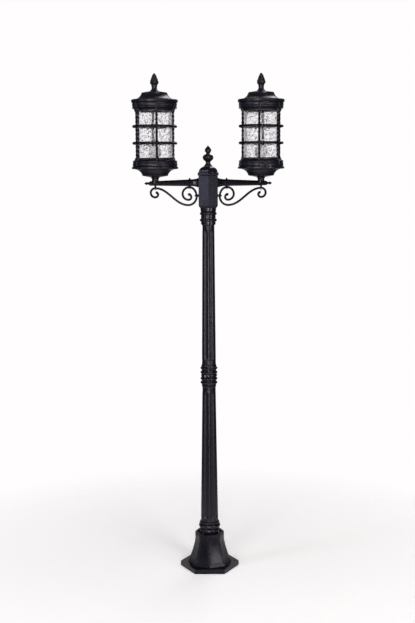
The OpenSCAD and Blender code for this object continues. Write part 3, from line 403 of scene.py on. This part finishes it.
def hammered_clear(name, glass):
    """Clear glass with dark specks of painted shade in its colour; its fine ripple adds to the modelled
    dimples.
    """
    surface = Surface(name)
    # Painted shade: dark specks in the glass's colour wherever the noise runs high, in any light
    shade_flecks = surface.remap(surface.noise(glass.dimple * SHADE_FLECK_SIZE, 2.0), *SHADE_FLECK_SPAN)
    ripple = surface.noise(glass.dimple * RIPPLE_SIZE, 2.0)
    surface.feed(
        Base_Color=surface.blend(shade_flecks, tuple(glass.tint), tuple(glass.shade_fleck)),
        Roughness=surface.mottle(GLASS_DULL_PATCH, 3.0, 0.13, 0.25),
        Normal=surface.bump(ripple, 0.7, RIPPLE_DEPTH),
    )
    surface.set(Transmission_Weight=1.0, IOR=glass.ior)
    return surface.material


def seen_directly(tree, mirrored=None):
    """One for rays from the camera and those that metal and glass pass on, otherwise nought.

    Where mirrored is given, metal shows that share only.
    """
    path = tree.nodes.new("ShaderNodeLightPath")
    glossy = path.outputs["Is Glossy Ray"]
    if mirrored:
        glossy = combined(tree, "MULTIPLY", glossy, mirrored)
    clear = combined(tree, "MAXIMUM", path.outputs["Is Camera Ray"], path.outputs["Is Transmission Ray"])
    return combined(tree, "MAXIMUM", clear, glossy)


def smooth_shading(piece, crease):
    """Smooth shading up to a crease angle."""
    piece.data.shade_smooth()
    weld = piece.modifiers.new("weld", "WELD")
    weld.merge_threshold = PACKED_GAP
    split = piece.modifiers.new("creases", "EDGE_SPLIT")
    split.split_angle = crease
    split.use_edge_sharp = False


def coat(node_names, material):
    """Gives a material and smooth shading to whole CAD nodes."""
    for name in node_names:
        piece = NODES[name]
        piece.data.materials.clear()
        piece.data.materials.append(material)
        smooth_shading(piece, METAL_CREASE)


def coat_of(node):
    return NODES[node].data.materials[0]


def nodes_of_slot(slot):
    return [part["node"] for part in frame["record"]["subparts"] if part["material_slot"] == slot]


# Mesh building

def new_piece(name, bm, material, body, slot, *replaced):
    """Makes an object from a bmesh, seats it on a body and lets it stand for CAD nodes."""
    mesh = bpy.data.meshes.new(name)
    bmesh.ops.recalc_face_normals(bm, faces=bm.faces)
    bm.to_mesh(mesh)
    bm.free()
    piece = bpy.data.objects.new(name, mesh)
    bpy.context.scene.collection.objects.link(piece)
    mesh.materials.append(material)
    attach(piece, body)
    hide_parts(*replaced)
    return piece


def middle_of(node):
    """A node's middle in plan, and its lowest and highest level."""
    low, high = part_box(node)
    return (low.x + high.x) / 2, (low.y + high.y) / 2, low.z, high.z


def grid_rings(bm, rings):
    """Joins equal rings of points into a skin, each ring closed on itself."""
    rows = [[bm.verts.new(point) for point in ring] for ring in rings]
    count = len(rows[0])
    for lower, upper in zip(rows, rows[1:]):
        for j in range(count):
            k = (j + 1) % count
            bm.faces.new((lower[j], lower[k], upper[k], upper[j]))
    return rows


def capped_rings(rings):
    """A closed skin over equal rings of points, with a face across the first and the last."""
    bm = bmesh.new()
    rows = grid_rings(bm, rings)
    bm.faces.new(rows[0])
    bm.faces.new(rows[-1])
    return bm


def profile_radius(profile, height):
    """Radius at a height, along straight runs between (height, radius) points."""
    for (z0, r0), (z1, r1) in zip(profile, profile[1:]):
        if z0 <= height <= z1:
            return r0 + (r1 - r0) * (height - z0) / (z1 - z0)
    return profile[-1][1]


def smooth_step(value, low, high):
    t = min(1.0, max(0.0, (value - low) / (high - low)))
    return t * t * (3.0 - 2.0 * t)


class Carving:
    """What the finials' operators share: a turned profile with relief carved into it."""

    columns = 96
    tip_r = 0.0003

    def turn(self, name, node, relief, material):
        """Turns the profile, with relief(angle, height) added to its radius, in place of a finial."""
        x, y, low, high = middle_of(node)
        rings = []
        for i in range(self.rows + 1):
            z = (high - low) * i / self.rows
            radius = profile_radius(self.profile, z)
            ring = []
            for j in range(self.columns):
                angle = math.tau * j / self.columns
                r = max(self.tip_r, radius + relief(angle, z))
                ring.append((x + r * math.cos(angle), y + r * math.sin(angle), low + z))
            rings.append(ring)
        piece = new_piece(name, capped_rings(rings), material, node, "black_casting", node)
        smooth_shading(piece, CARVING_CREASE)


# Operators

class LAMPPOST_OT_castings(bpy.types.Operator):
    """Paint the cast pieces with satin black powder coat"""

    bl_idname = "lamppost.castings"
    bl_label = "Paint castings"

    # Heights of the plinth and of the bell's lip, which keep crisp edges
    plinth = 0.026
    lip = 0.004

    lantern = ("_bowl", "_lower_ring", "_upper_ring", "_roof")
    tubes = ("lower_post", "upper_post")
    arms = ("left_arm", "right_arm", "band_knobs")

    def execute(self, context):
        paint = context.scene.lamppost_paint
        low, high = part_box("base_casting")
        bell = (low.z + self.plinth, high.z - self.lip)
        lanterns = [side + piece for side in SIDES for piece in self.lantern]
        special = {"base_casting", *lanterns, *self.tubes, *self.arms}
        others = [node for node in nodes_of_slot("black_casting") if node not in special]

        coat(others, satin_paint("casting_paint", paint.casting, paint, paint.roughness))
        coat(["base_casting"], satin_paint(
            "bell_paint", paint.casting, paint, paint.bell_roughness, bell=bell, pebbling=0.01, gloss=0.5))
        coat(lanterns, satin_paint(
            "lantern_paint", paint.casting, paint, paint.lantern_roughness, pebbling=0.02))
        coat(self.tubes, satin_paint(
            "tube_paint", paint.casting, paint, paint.tube_roughness, pebbling=0.01, gloss=0.85))
        coat(self.arms, satin_paint(
            "arm_paint", paint.steel, paint, paint.bar_roughness, pebbling=0.02, gloss=0.6))
        return {"FINISHED"}


class LAMPPOST_OT_bars(bpy.types.Operator):
    """Paint the cage bars, the hoops, the scroll brackets and their spacers"""

    bl_idname = "lamppost.bars"
    bl_label = "Paint bars"

    def execute(self, context):
        paint = context.scene.lamppost_paint
        coat(nodes_of_slot("black_steel"), satin_paint(
            "bar_paint", paint.steel, paint, paint.bar_roughness, pebbling=0.02, gloss=0.7))
        return {"FINISHED"}


class LAMPPOST_OT_scrolls(bpy.types.Operator):
    """Fill out the scroll brackets"""

    bl_idname = "lamppost.scrolls"
    bl_label = "Fill out scrolls"

    def execute(self, context):
        bars = context.scene.lamppost_bars
        for side in SIDES:
            self.scroll(side, bars.scroll_fullness)
        return {"FINISHED"}

    @staticmethod
    def scroll(side, fullness):
        """A scroll grown evenly from the solid bar."""
        node = side + "_scroll"
        bm = bmesh.new()
        bm.from_mesh(NODES[node].data)
        bmesh.ops.remove_doubles(bm, verts=bm.verts, dist=PACKED_GAP)
        bm.normal_update()
        normals = [corner.normal.copy() for corner in bm.verts]
        for corner, normal in zip(bm.verts, normals):
            corner.co += normal * fullness
        piece = new_piece(side + "_full_scroll", bm, coat_of(node), "post", "black_steel", node)
        smooth_shading(piece, METAL_CREASE)


class LAMPPOST_OT_fixings(bpy.types.Operator):
    """Plate the screws, nuts, studs and straps"""

    bl_idname = "lamppost.fixings"
    bl_label = "Plate fixings"

    # The plate rounds edges by this share of what the paint does
    edge_share = 0.4

    def execute(self, context):
        paint = context.scene.lamppost_paint
        plate = bright_plate("zinc_plate", paint.zinc, paint.edge * self.edge_share)
        coat(nodes_of_slot("zinc_steel"), plate)
        return {"FINISHED"}


class LAMPPOST_OT_lamps(bpy.types.Operator):
    """Finish the lampholders, bulbs, seals and terminal block"""

    bl_idname = "lamppost.lamps"
    bl_label = "Finish lamps"

    # Slot, finish, colour, roughness, grain in metres and share of clearness
    mouldings = (
        ("holder_ceramic", "holder_glaze", (0.84, 0.81, 0.75), 0.22, 0.003, 0.0),
        ("opal_bulb", "bulb_opal", (0.95, 0.945, 0.93), 0.4, 0.004, 0.85),
        ("seal_rubber", "seal_black", (0.02, 0.02, 0.02), 0.7, 0.001, 0.0),
        ("pale_plastic", "block_cream", (0.7, 0.67, 0.58), 0.45, 0.002, 0.0),
    )

    def execute(self, context):
        for slot, *finish in self.mouldings:
            coat(nodes_of_slot(slot), plain_moulding(*finish))
        return {"FINISHED"}


class LAMPPOST_OT_glass(bpy.types.Operator):
    """Model the hammered glass cylinders"""

    bl_idname = "lamppost.glass"
    bl_label = "Hammer the glass"

    columns = 264
    rows = 120

    # Radius of a hollow, in dimple units
    hollow_r = 0.75

    def execute(self, context):
        glass = context.scene.lamppost_glass
        material = hammered_clear("hammered_glass", glass)
        for side in SIDES:
            self.cylinder(side, glass, material)
        return {"FINISHED"}

    def cylinder(self, side, glass, material):
        node = side + "_glass"
        x, y, low, high = middle_of(node)
        outer_r = (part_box(node)[1].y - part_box(node)[0].y) / 2
        inner_r = outer_r - glass.wall
        outer = []
        inner = []
        for i in range(self.rows + 1):
            z = low + (high - low) * i / self.rows
            outer_ring = []
            inner_ring = []
            for j in range(self.columns):
                angle = math.tau * j / self.columns
                way = Vector((math.cos(angle), math.sin(angle), 0.0))
                at = way * outer_r + Vector((0.0, 0.0, z))
                r = outer_r - self.dimple(at / glass.dimple) * glass.depth
                outer_ring.append((x + way.x * r, y + way.y * r, z))
                inner_ring.append((x + way.x * inner_r, y + way.y * inner_r, z))
            outer.append(outer_ring)
            inner.append(inner_ring)
        bm = bmesh.new()
        grid_rings(bm, [*outer, *reversed(inner), outer[0]])
        bmesh.ops.remove_doubles(bm, verts=bm.verts, dist=SKIN_GAP)
        piece = new_piece(side + "_hammered_glass", bm, material, "post", "clear_glass", node)
        smooth_shading(piece, GLASS_CREASE)

    def dimple(self, place):
        """Depth share of the hammered surface at a place in dimple units: a field of round hollows."""
        nearest = noise.voronoi(place)[0][0]
        return 1.0 - min(1.0, nearest / self.hollow_r) ** 2


class LAMPPOST_OT_hoops(bpy.types.Operator):
    """Twist the lanterns' square hoops"""

    bl_idname = "lamppost.hoops"
    bl_label = "Twist hoops"

    # Reach of the solid hoop's corners from its middle
    solid_reach = 0.0074 / math.sqrt(2.0)

    # Radius at which a hoop laps the bars, half the turn that a lap takes, and the count of bars
    lap_r = 0.0971
    lap_half_turn = math.radians(6.0)
    bars = 6

    # Points this near to a bar's outermost point, in plan, are the same bar's
    bar_width = 0.02

    def execute(self, context):
        bars = context.scene.lamppost_bars
        for side in SIDES:
            self.pair(side, bars, coat_of("left_cage_bars"))
        return {"FINISHED"}

    def pair(self, side, bars, material):
        node = side + "_cage_hoops"
        x, y, low, high = middle_of(node)
        ring_r = (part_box(node)[1].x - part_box(node)[0].x) / 2 - self.solid_reach
        first_bar = self.bar_angle(side, x, y)
        bm = bmesh.new()
        for z in (low + self.solid_reach, high - self.solid_reach):
            rings = [self.section(x, y, z, ring_r, i, bars, first_bar) for i in range(bars.hoop_steps)]
            grid_rings(bm, [*rings, rings[0]])
        bmesh.ops.remove_doubles(bm, verts=bm.verts, dist=SKIN_GAP)
        piece = new_piece(side + "_twisted_hoops", bm, material, "post", "black_steel", node)
        smooth_shading(piece, METAL_CREASE)

    def bar_angle(self, side, x, y):
        """Angle, about the lantern's middle, of the bar that has the outermost point."""
        points = [corner.co for corner in NODES[side + "_cage_bars"].data.vertices]
        far = max(points, key=lambda point: math.hypot(point.x - x, point.y - y))
        near = [p for p in points if math.hypot(p.x - far.x, p.y - far.y) < self.bar_width]
        return math.atan2(sum(p.y for p in near) / len(near) - y, sum(p.x for p in near) / len(near) - x)

    def section(self, x, y, z, ring_r, step, bars, first_bar):
        """One square section of the hoop, turned with the twist and flattened where it laps a bar."""
        angle = math.tau * step / bars.hoop_steps
        twist = bars.hoop_turns * angle
        pitch = math.tau / self.bars
        off_bar = abs((angle - first_bar + pitch / 2) % pitch - pitch / 2)
        ring = []
        for j in range(bars.hoop_corners):
            t = math.tau * j / bars.hoop_corners
            flat = bars.hoop_half / max(abs(math.cos(t)), abs(math.sin(t)))
            reach = min(flat, bars.hoop_half * bars.hoop_corner)
            r = ring_r + reach * math.cos(t + twist)
            if off_bar < self.lap_half_turn:
                r = max(r, self.lap_r)
            ring.append((x + r * math.cos(angle), y + r * math.sin(angle), z + reach * math.sin(t + twist)))
        return ring


class LAMPPOST_OT_base_seam(bpy.types.Operator):
    """Raise the casting's seam on the front of the bell"""

    bl_idname = "lamppost.base_seam"
    bl_label = "Raise the seam"

    half_width = 0.0011
    height = 0.0009

    # Points this near to the middle plane lie on it, and levels are told apart to this many decimals
    plane_gap = 1e-4
    level_decimals = 4

    def execute(self, context):
        rings = [self.section(point) for point in self.front_line()]
        piece = new_piece("base_seam", capped_rings(rings), coat_of("base_casting"), "post", "black_casting")
        smooth_shading(piece, SEAM_CREASE)
        return {"FINISHED"}

    def section(self, point):
        """A low ridge across the seam, with its foot sunk into the bell."""
        foot = point.y + self.half_width
        return (
            (point.x - self.half_width, foot, point.z),
            (point.x, point.y - self.height, point.z),
            (point.x + self.half_width, foot, point.z),
        )

    def front_line(self):
        """The casting's middle line on its front, as the foremost point at each height."""
        foremost = {}
        for corner in NODES["base_casting"].data.vertices:
            point = corner.co
            if abs(point.x) >= self.plane_gap or point.y >= 0.0:
                continue
            level = round(point.z, self.level_decimals)
            if level not in foremost or point.y < foremost[level].y:
                foremost[level] = point
        return [foremost[level] for level in sorted(foremost)]


class LAMPPOST_OT_roof_finials(Carving, bpy.types.Operator):
    """Carve the scaled buds on the lantern roofs"""

    bl_idname = "lamppost.roof_finials"
    bl_label = "Carve roof finials"

    rows = 120

    # Height and radius up the finial, in metres
    profile = (
        (0.0, 0.0198), (0.002, 0.019), (0.0045, 0.0158), (0.0085, 0.0128), (0.0125, 0.0121),
        (0.017, 0.0124), (0.0225, 0.0133), (0.0245, 0.0134), (0.0262, 0.0128), (0.0285, 0.0155),
        (0.0335, 0.0188), (0.038, 0.0198), (0.043, 0.019), (0.0495, 0.0168), (0.057, 0.014),
        (0.0635, 0.0115), (0.071, 0.0082), (0.0765, 0.0045), (0.079, 0.0012),
    )
    bud_foot = 0.0265
    bud_top = 0.077

    # How the rows crowd upwards, how round the scales are, and how far they stand out
    crowding = 0.85
    roundness = 0.6
    scale_swell = 0.0004

    # Share of the bud's height over which scales begin, and share of their depth that is lost at its top
    foot_fade = 0.06
    top_loss = 0.55

    def execute(self, context):
        finials = context.scene.lamppost_finials

        def relief(angle, z):
            if z < self.bud_foot or z > self.bud_top:
                return 0.0
            climb = (z - self.bud_foot) / (self.bud_top - self.bud_foot)
            row = climb ** self.crowding * finials.rows
            turn = finials.scales * angle / math.tau
            tip = math.cos(math.pi * (turn + row / 2)) * math.cos(math.pi * (turn - row / 2))
            cut = 1.0 - abs(tip) ** self.roundness
            fade = smooth_step(climb, 0.0, self.foot_fade) * (1.0 - self.top_loss * climb)
            return -finials.scale_depth * cut * fade + self.scale_swell * fade

        for side in SIDES:
            self.turn(side + "_scaled_finial", side + "_roof_finial", relief, coat_of("left_roof"))
        return {"FINISHED"}


class LAMPPOST_OT_hub_finial(Carving, bpy.types.Operator):
    """Carve the petalled urn and bud on the hub"""

    bl_idname = "lamppost.hub_finial"
    bl_label = "Carve hub finial"

    rows = 130

    # Height and radius up the finial, in metres
    profile = (
        (0.0, 0.0185), (0.0025, 0.018), (0.0055, 0.0152), (0.0095, 0.0122), (0.0145, 0.0105),
        (0.0165, 0.0105), (0.0205, 0.0118), (0.0222, 0.0142), (0.0268, 0.0198), (0.0318, 0.0238),
        (0.037, 0.0252), (0.042, 0.0249), (0.047, 0.0222), (0.0508, 0.0176), (0.053, 0.0122),
        (0.0553, 0.0087), (0.0577, 0.0084), (0.061, 0.0102), (0.0655, 0.0138), (0.071, 0.0154),
        (0.0757, 0.0142), (0.081, 0.0104), (0.0875, 0.0052), (0.092, 0.001),
    )

    # Lowest and highest level of the carved urn and bud, and the shares of each where its carving is full
    urn = (0.0205, 0.0515)
    urn_full = (0.2, 0.78)
    bud = (0.0595, 0.0905)
    bud_full = (0.3, 0.7)

    # How narrow the grooves between petals are, and the bud's faces and their depth
    narrowness = 6
    bud_faces = 6
    bud_depth = 0.0011

    @staticmethod
    def fade(z, span, full):
        """How deep the carving is at a level: nought at the ends of a span and one in the full part."""
        climb = (z - span[0]) / (span[1] - span[0])
        return smooth_step(climb, 0.0, full[0]) * (1.0 - smooth_step(climb, full[1], 1.0))

    def execute(self, context):
        finials = context.scene.lamppost_finials

        def relief(angle, z):
            if self.urn[0] < z < self.urn[1]:
                groove = abs(math.cos(finials.petals * angle / 2)) ** self.narrowness
                return -finials.petal_depth * groove * self.fade(z, self.urn, self.urn_full)
            if self.bud[0] < z < self.bud[1]:
                edge = abs(math.sin(self.bud_faces * angle / 2))
                return -self.bud_depth * self.fade(z, self.bud, self.bud_full) * edge
            return 0.0

        self.turn("petalled_finial", "hub_finial", relief, coat_of("hub_cap"))
        return {"FINISHED"}


class LAMPPOST_OT_stage(bpy.types.Operator):
    """Set up the floor, the studio's light and the camera"""

    bl_idname = "lamppost.stage"
    bl_label = "Set the stage"

    floor_r = 7.0
    floor_corners = 96

    # Distances from the post between which the floor fades into the backdrop
    fade = (0.45, 1.7)

    # How far from straight behind the post the paper ends, and where it is full white
    paper_edge = math.radians(24.0)
    paper_middle = math.radians(14.0)

    white = (1.0, 1.0, 1.0)
    cool = (0.72, 0.8, 1.0)

    # Each soft box's setting, place, width and height, the level on the post that it faces, and tint
    soft_boxes = (
        ("key", (-4.0, -2.3, 2.1), (0.9, 1.6), 1.8, cool),
        ("front", (-1.75, -4.3, 2.15), (1.3, 1.4), 1.9, white),
        ("post", (-0.1, -4.65, 0.75), (0.7, 0.9), 1.3, white),
        ("cap", (-3.7, -1.7, 4.0), (1.0, 1.0), 1.9, cool),
        ("fill", (3.8, -2.4, 1.7), (0.8, 1.8), 1.4, cool),
        ("low", (2.7, -2.75, 1.05), (0.7, 1.1), 0.3, white),
        ("back", (0.8, 2.4, 4.4), (1.5, 1.8), 1.2, white),
        ("top", (1.7, -2.9, 4.3), (0.9, 0.9), 1.0, white),
    )

    def execute(self, context):
        stage = context.scene.lamppost_stage
        self.floor(stage)
        self.world(context.scene, stage)
        for setting, place, size, level, tint in self.soft_boxes:
            self.soft_box(setting + "_box", getattr(stage, setting), place, size, level, tint)
        self.camera(context.scene, stage)
        context.scene.view_settings.view_transform = "Standard"
        return {"FINISHED"}

    def floor(self, stage):
        bm = bmesh.new()
        bmesh.ops.create_circle(bm, cap_ends=True, segments=self.floor_corners, radius=self.floor_r)
        mesh = bpy.data.meshes.new("floor")
        bm.to_mesh(mesh)
        bm.free()
        piece = bpy.data.objects.new("floor", mesh)
        bpy.context.scene.collection.objects.link(piece)
        mesh.materials.append(self.floor_paper(stage))

    def floor_paper(self, stage):
        """Pale paper that fades into the backdrop away from the post."""
        surface = Surface("floor_paper")
        surface.set(Base_Color=(*stage.floor, 1.0), Roughness=0.9, Specular_IOR_Level=0.1)
        away = surface.add("ShaderNodeVectorMath", operation="LENGTH")
        surface.link(surface.place, away.inputs[0])
        glow = surface.add("ShaderNodeEmission")
        glow.inputs["Color"].default_value = (*stage.backdrop, 1.0)
        lift = surface.remap(seen_directly(surface.tree), 0.0, 1.0, 0.0, stage.lift)
        surface.link(lift, glow.inputs["Strength"])
        lifted = surface.add("ShaderNodeAddShader")
        surface.link(surface.shader.outputs["BSDF"], lifted.inputs[0])
        surface.link(glow.outputs["Emission"], lifted.inputs[1])
        clear = surface.add("ShaderNodeBsdfTransparent")
        mix = surface.add("ShaderNodeMixShader")
        surface.link(surface.remap(away.outputs["Value"], *self.fade), mix.inputs[0])
        surface.link(lifted.outputs["Shader"], mix.inputs[1])
        surface.link(clear.outputs["BSDF"], mix.inputs[2])
        surface.link(mix.outputs["Shader"], surface.output.inputs["Surface"])
        return surface.material

    def world(self, scene, stage):
        """The backdrop as it is seen, and a dim even light for all else."""
        world = bpy.data.worlds.new("studio")
        scene.world = world
        world.use_nodes = True
        tree = world.node_tree
        tree.nodes.clear()
        seen = tree.nodes.new("ShaderNodeBackground")
        seen.inputs["Color"].default_value = (*stage.backdrop, 1.0)
        lit = tree.nodes.new("ShaderNodeBackground")
        lit.inputs["Color"].default_value = (*self.white, 1.0)
        lit.inputs["Strength"].default_value = stage.ambient
        mix = tree.nodes.new("ShaderNodeMixShader")
        output = tree.nodes.new("ShaderNodeOutputWorld")
        tree.links.new(seen_directly(tree, self.behind(tree)), mix.inputs[0])
        tree.links.new(lit.outputs[0], mix.inputs[1])
        tree.links.new(seen.outputs[0], mix.inputs[2])
        tree.links.new(mix.outputs[0], output.inputs["Surface"])

    def behind(self, tree):
        """One towards the paper that hangs behind the post, and nought towards the dim room."""
        way = tree.nodes.new("ShaderNodeTexCoord").outputs["Generated"]
        facing = tree.nodes.new("ShaderNodeVectorMath")
        facing.operation = "DOT_PRODUCT"
        tree.links.new(way, facing.inputs[0])
        facing.inputs[1].default_value = (0.0, 1.0, 0.0)
        paper = tree.nodes.new("ShaderNodeMapRange")
        paper.inputs["From Min"].default_value = math.cos(self.paper_edge)
        paper.inputs["From Max"].default_value = math.cos(self.paper_middle)
        tree.links.new(facing.outputs["Value"], paper.inputs["Value"])
        return paper.outputs["Result"]

    @staticmethod
    def soft_box(name, power, place, size, level, tint):
        """An area lamp that faces a level on the post's axis and isn't seen itself."""
        lamp = bpy.data.lights.new(name, "AREA")
        lamp.shape = "RECTANGLE"
        lamp.size, lamp.size_y = size
        lamp.energy = power
        lamp.color = tint
        box = bpy.data.objects.new(name, lamp)
        box.location = place
        box.visible_camera = False
        box.visible_transmission = False
        aim = Vector((0.0, 0.0, level)) - Vector(place)
        box.rotation_euler = aim.to_track_quat("-Z", "Y").to_euler()
        bpy.context.scene.collection.objects.link(box)

    @staticmethod
    def camera(scene, stage):
        lens = bpy.data.cameras.new("camera")
        lens.sensor_width = SENSOR_LONG_SIDE
        lens.lens = stage.focal_pixels * SENSOR_LONG_SIDE / max(IMAGE_WIDTH, IMAGE_HEIGHT)
        camera = bpy.data.objects.new("camera", lens)
        camera.location = (stage.offset, -stage.distance, stage.height)
        tilt = Matrix.Rotation(math.pi / 2 - stage.pitch, 3, "X") @ Matrix.Rotation(stage.roll, 3, "Z")
        camera.rotation_euler = tilt.to_euler()
        scene.collection.objects.link(camera)
        scene.camera = camera


class LAMPPOST_PT_panel(bpy.types.Panel):
    """Lists the lamp post's steps"""

    bl_idname = "LAMPPOST_PT_panel"
    bl_label = "Lamp Post"
    bl_space_type = "VIEW_3D"
    bl_region_type = "UI"
    bl_category = "Lamp Post"

    def draw(self, context):
        for operator in OPERATORS:
            self.layout.operator(operator.bl_idname)


OPERATORS = (
    LAMPPOST_OT_stage,
    LAMPPOST_OT_castings,
    LAMPPOST_OT_bars,
    LAMPPOST_OT_scrolls,
    LAMPPOST_OT_fixings,
    LAMPPOST_OT_lamps,
    LAMPPOST_OT_glass,
    LAMPPOST_OT_hoops,
    LAMPPOST_OT_base_seam,
    LAMPPOST_OT_roof_finials,
    LAMPPOST_OT_hub_finial,
)
SETTINGS = {
    "lamppost_paint": LampPostPaint,
    "lamppost_glass": LampPostGlass,
    "lamppost_bars": LampPostBars,
    "lamppost_finials": LampPostFinials,
    "lamppost_stage": LampPostStage,
}
CLASSES = (*SETTINGS.values(), *OPERATORS, LAMPPOST_PT_panel)


def register():
    for cls in CLASSES:
        bpy.utils.register_class(cls)
    for name, group in SETTINGS.items():
        setattr(bpy.types.Scene, name, bpy.props.PointerProperty(type=group))


def unregister():
    for name in SETTINGS:
        delattr(bpy.types.Scene, name)
    for cls in reversed(CLASSES):
        bpy.utils.unregister_class(cls)


def main():
    register()
    bpy.ops.lamppost.stage()
    bpy.ops.lamppost.castings()
    bpy.ops.lamppost.bars()
    bpy.ops.lamppost.scrolls()
    bpy.ops.lamppost.fixings()
    bpy.ops.lamppost.lamps()
    bpy.ops.lamppost.glass()
    bpy.ops.lamppost.hoops()
    bpy.ops.lamppost.base_seam()
    bpy.ops.lamppost.roof_finials()
    bpy.ops.lamppost.hub_finial()


if __name__ == "__main__":
    main()
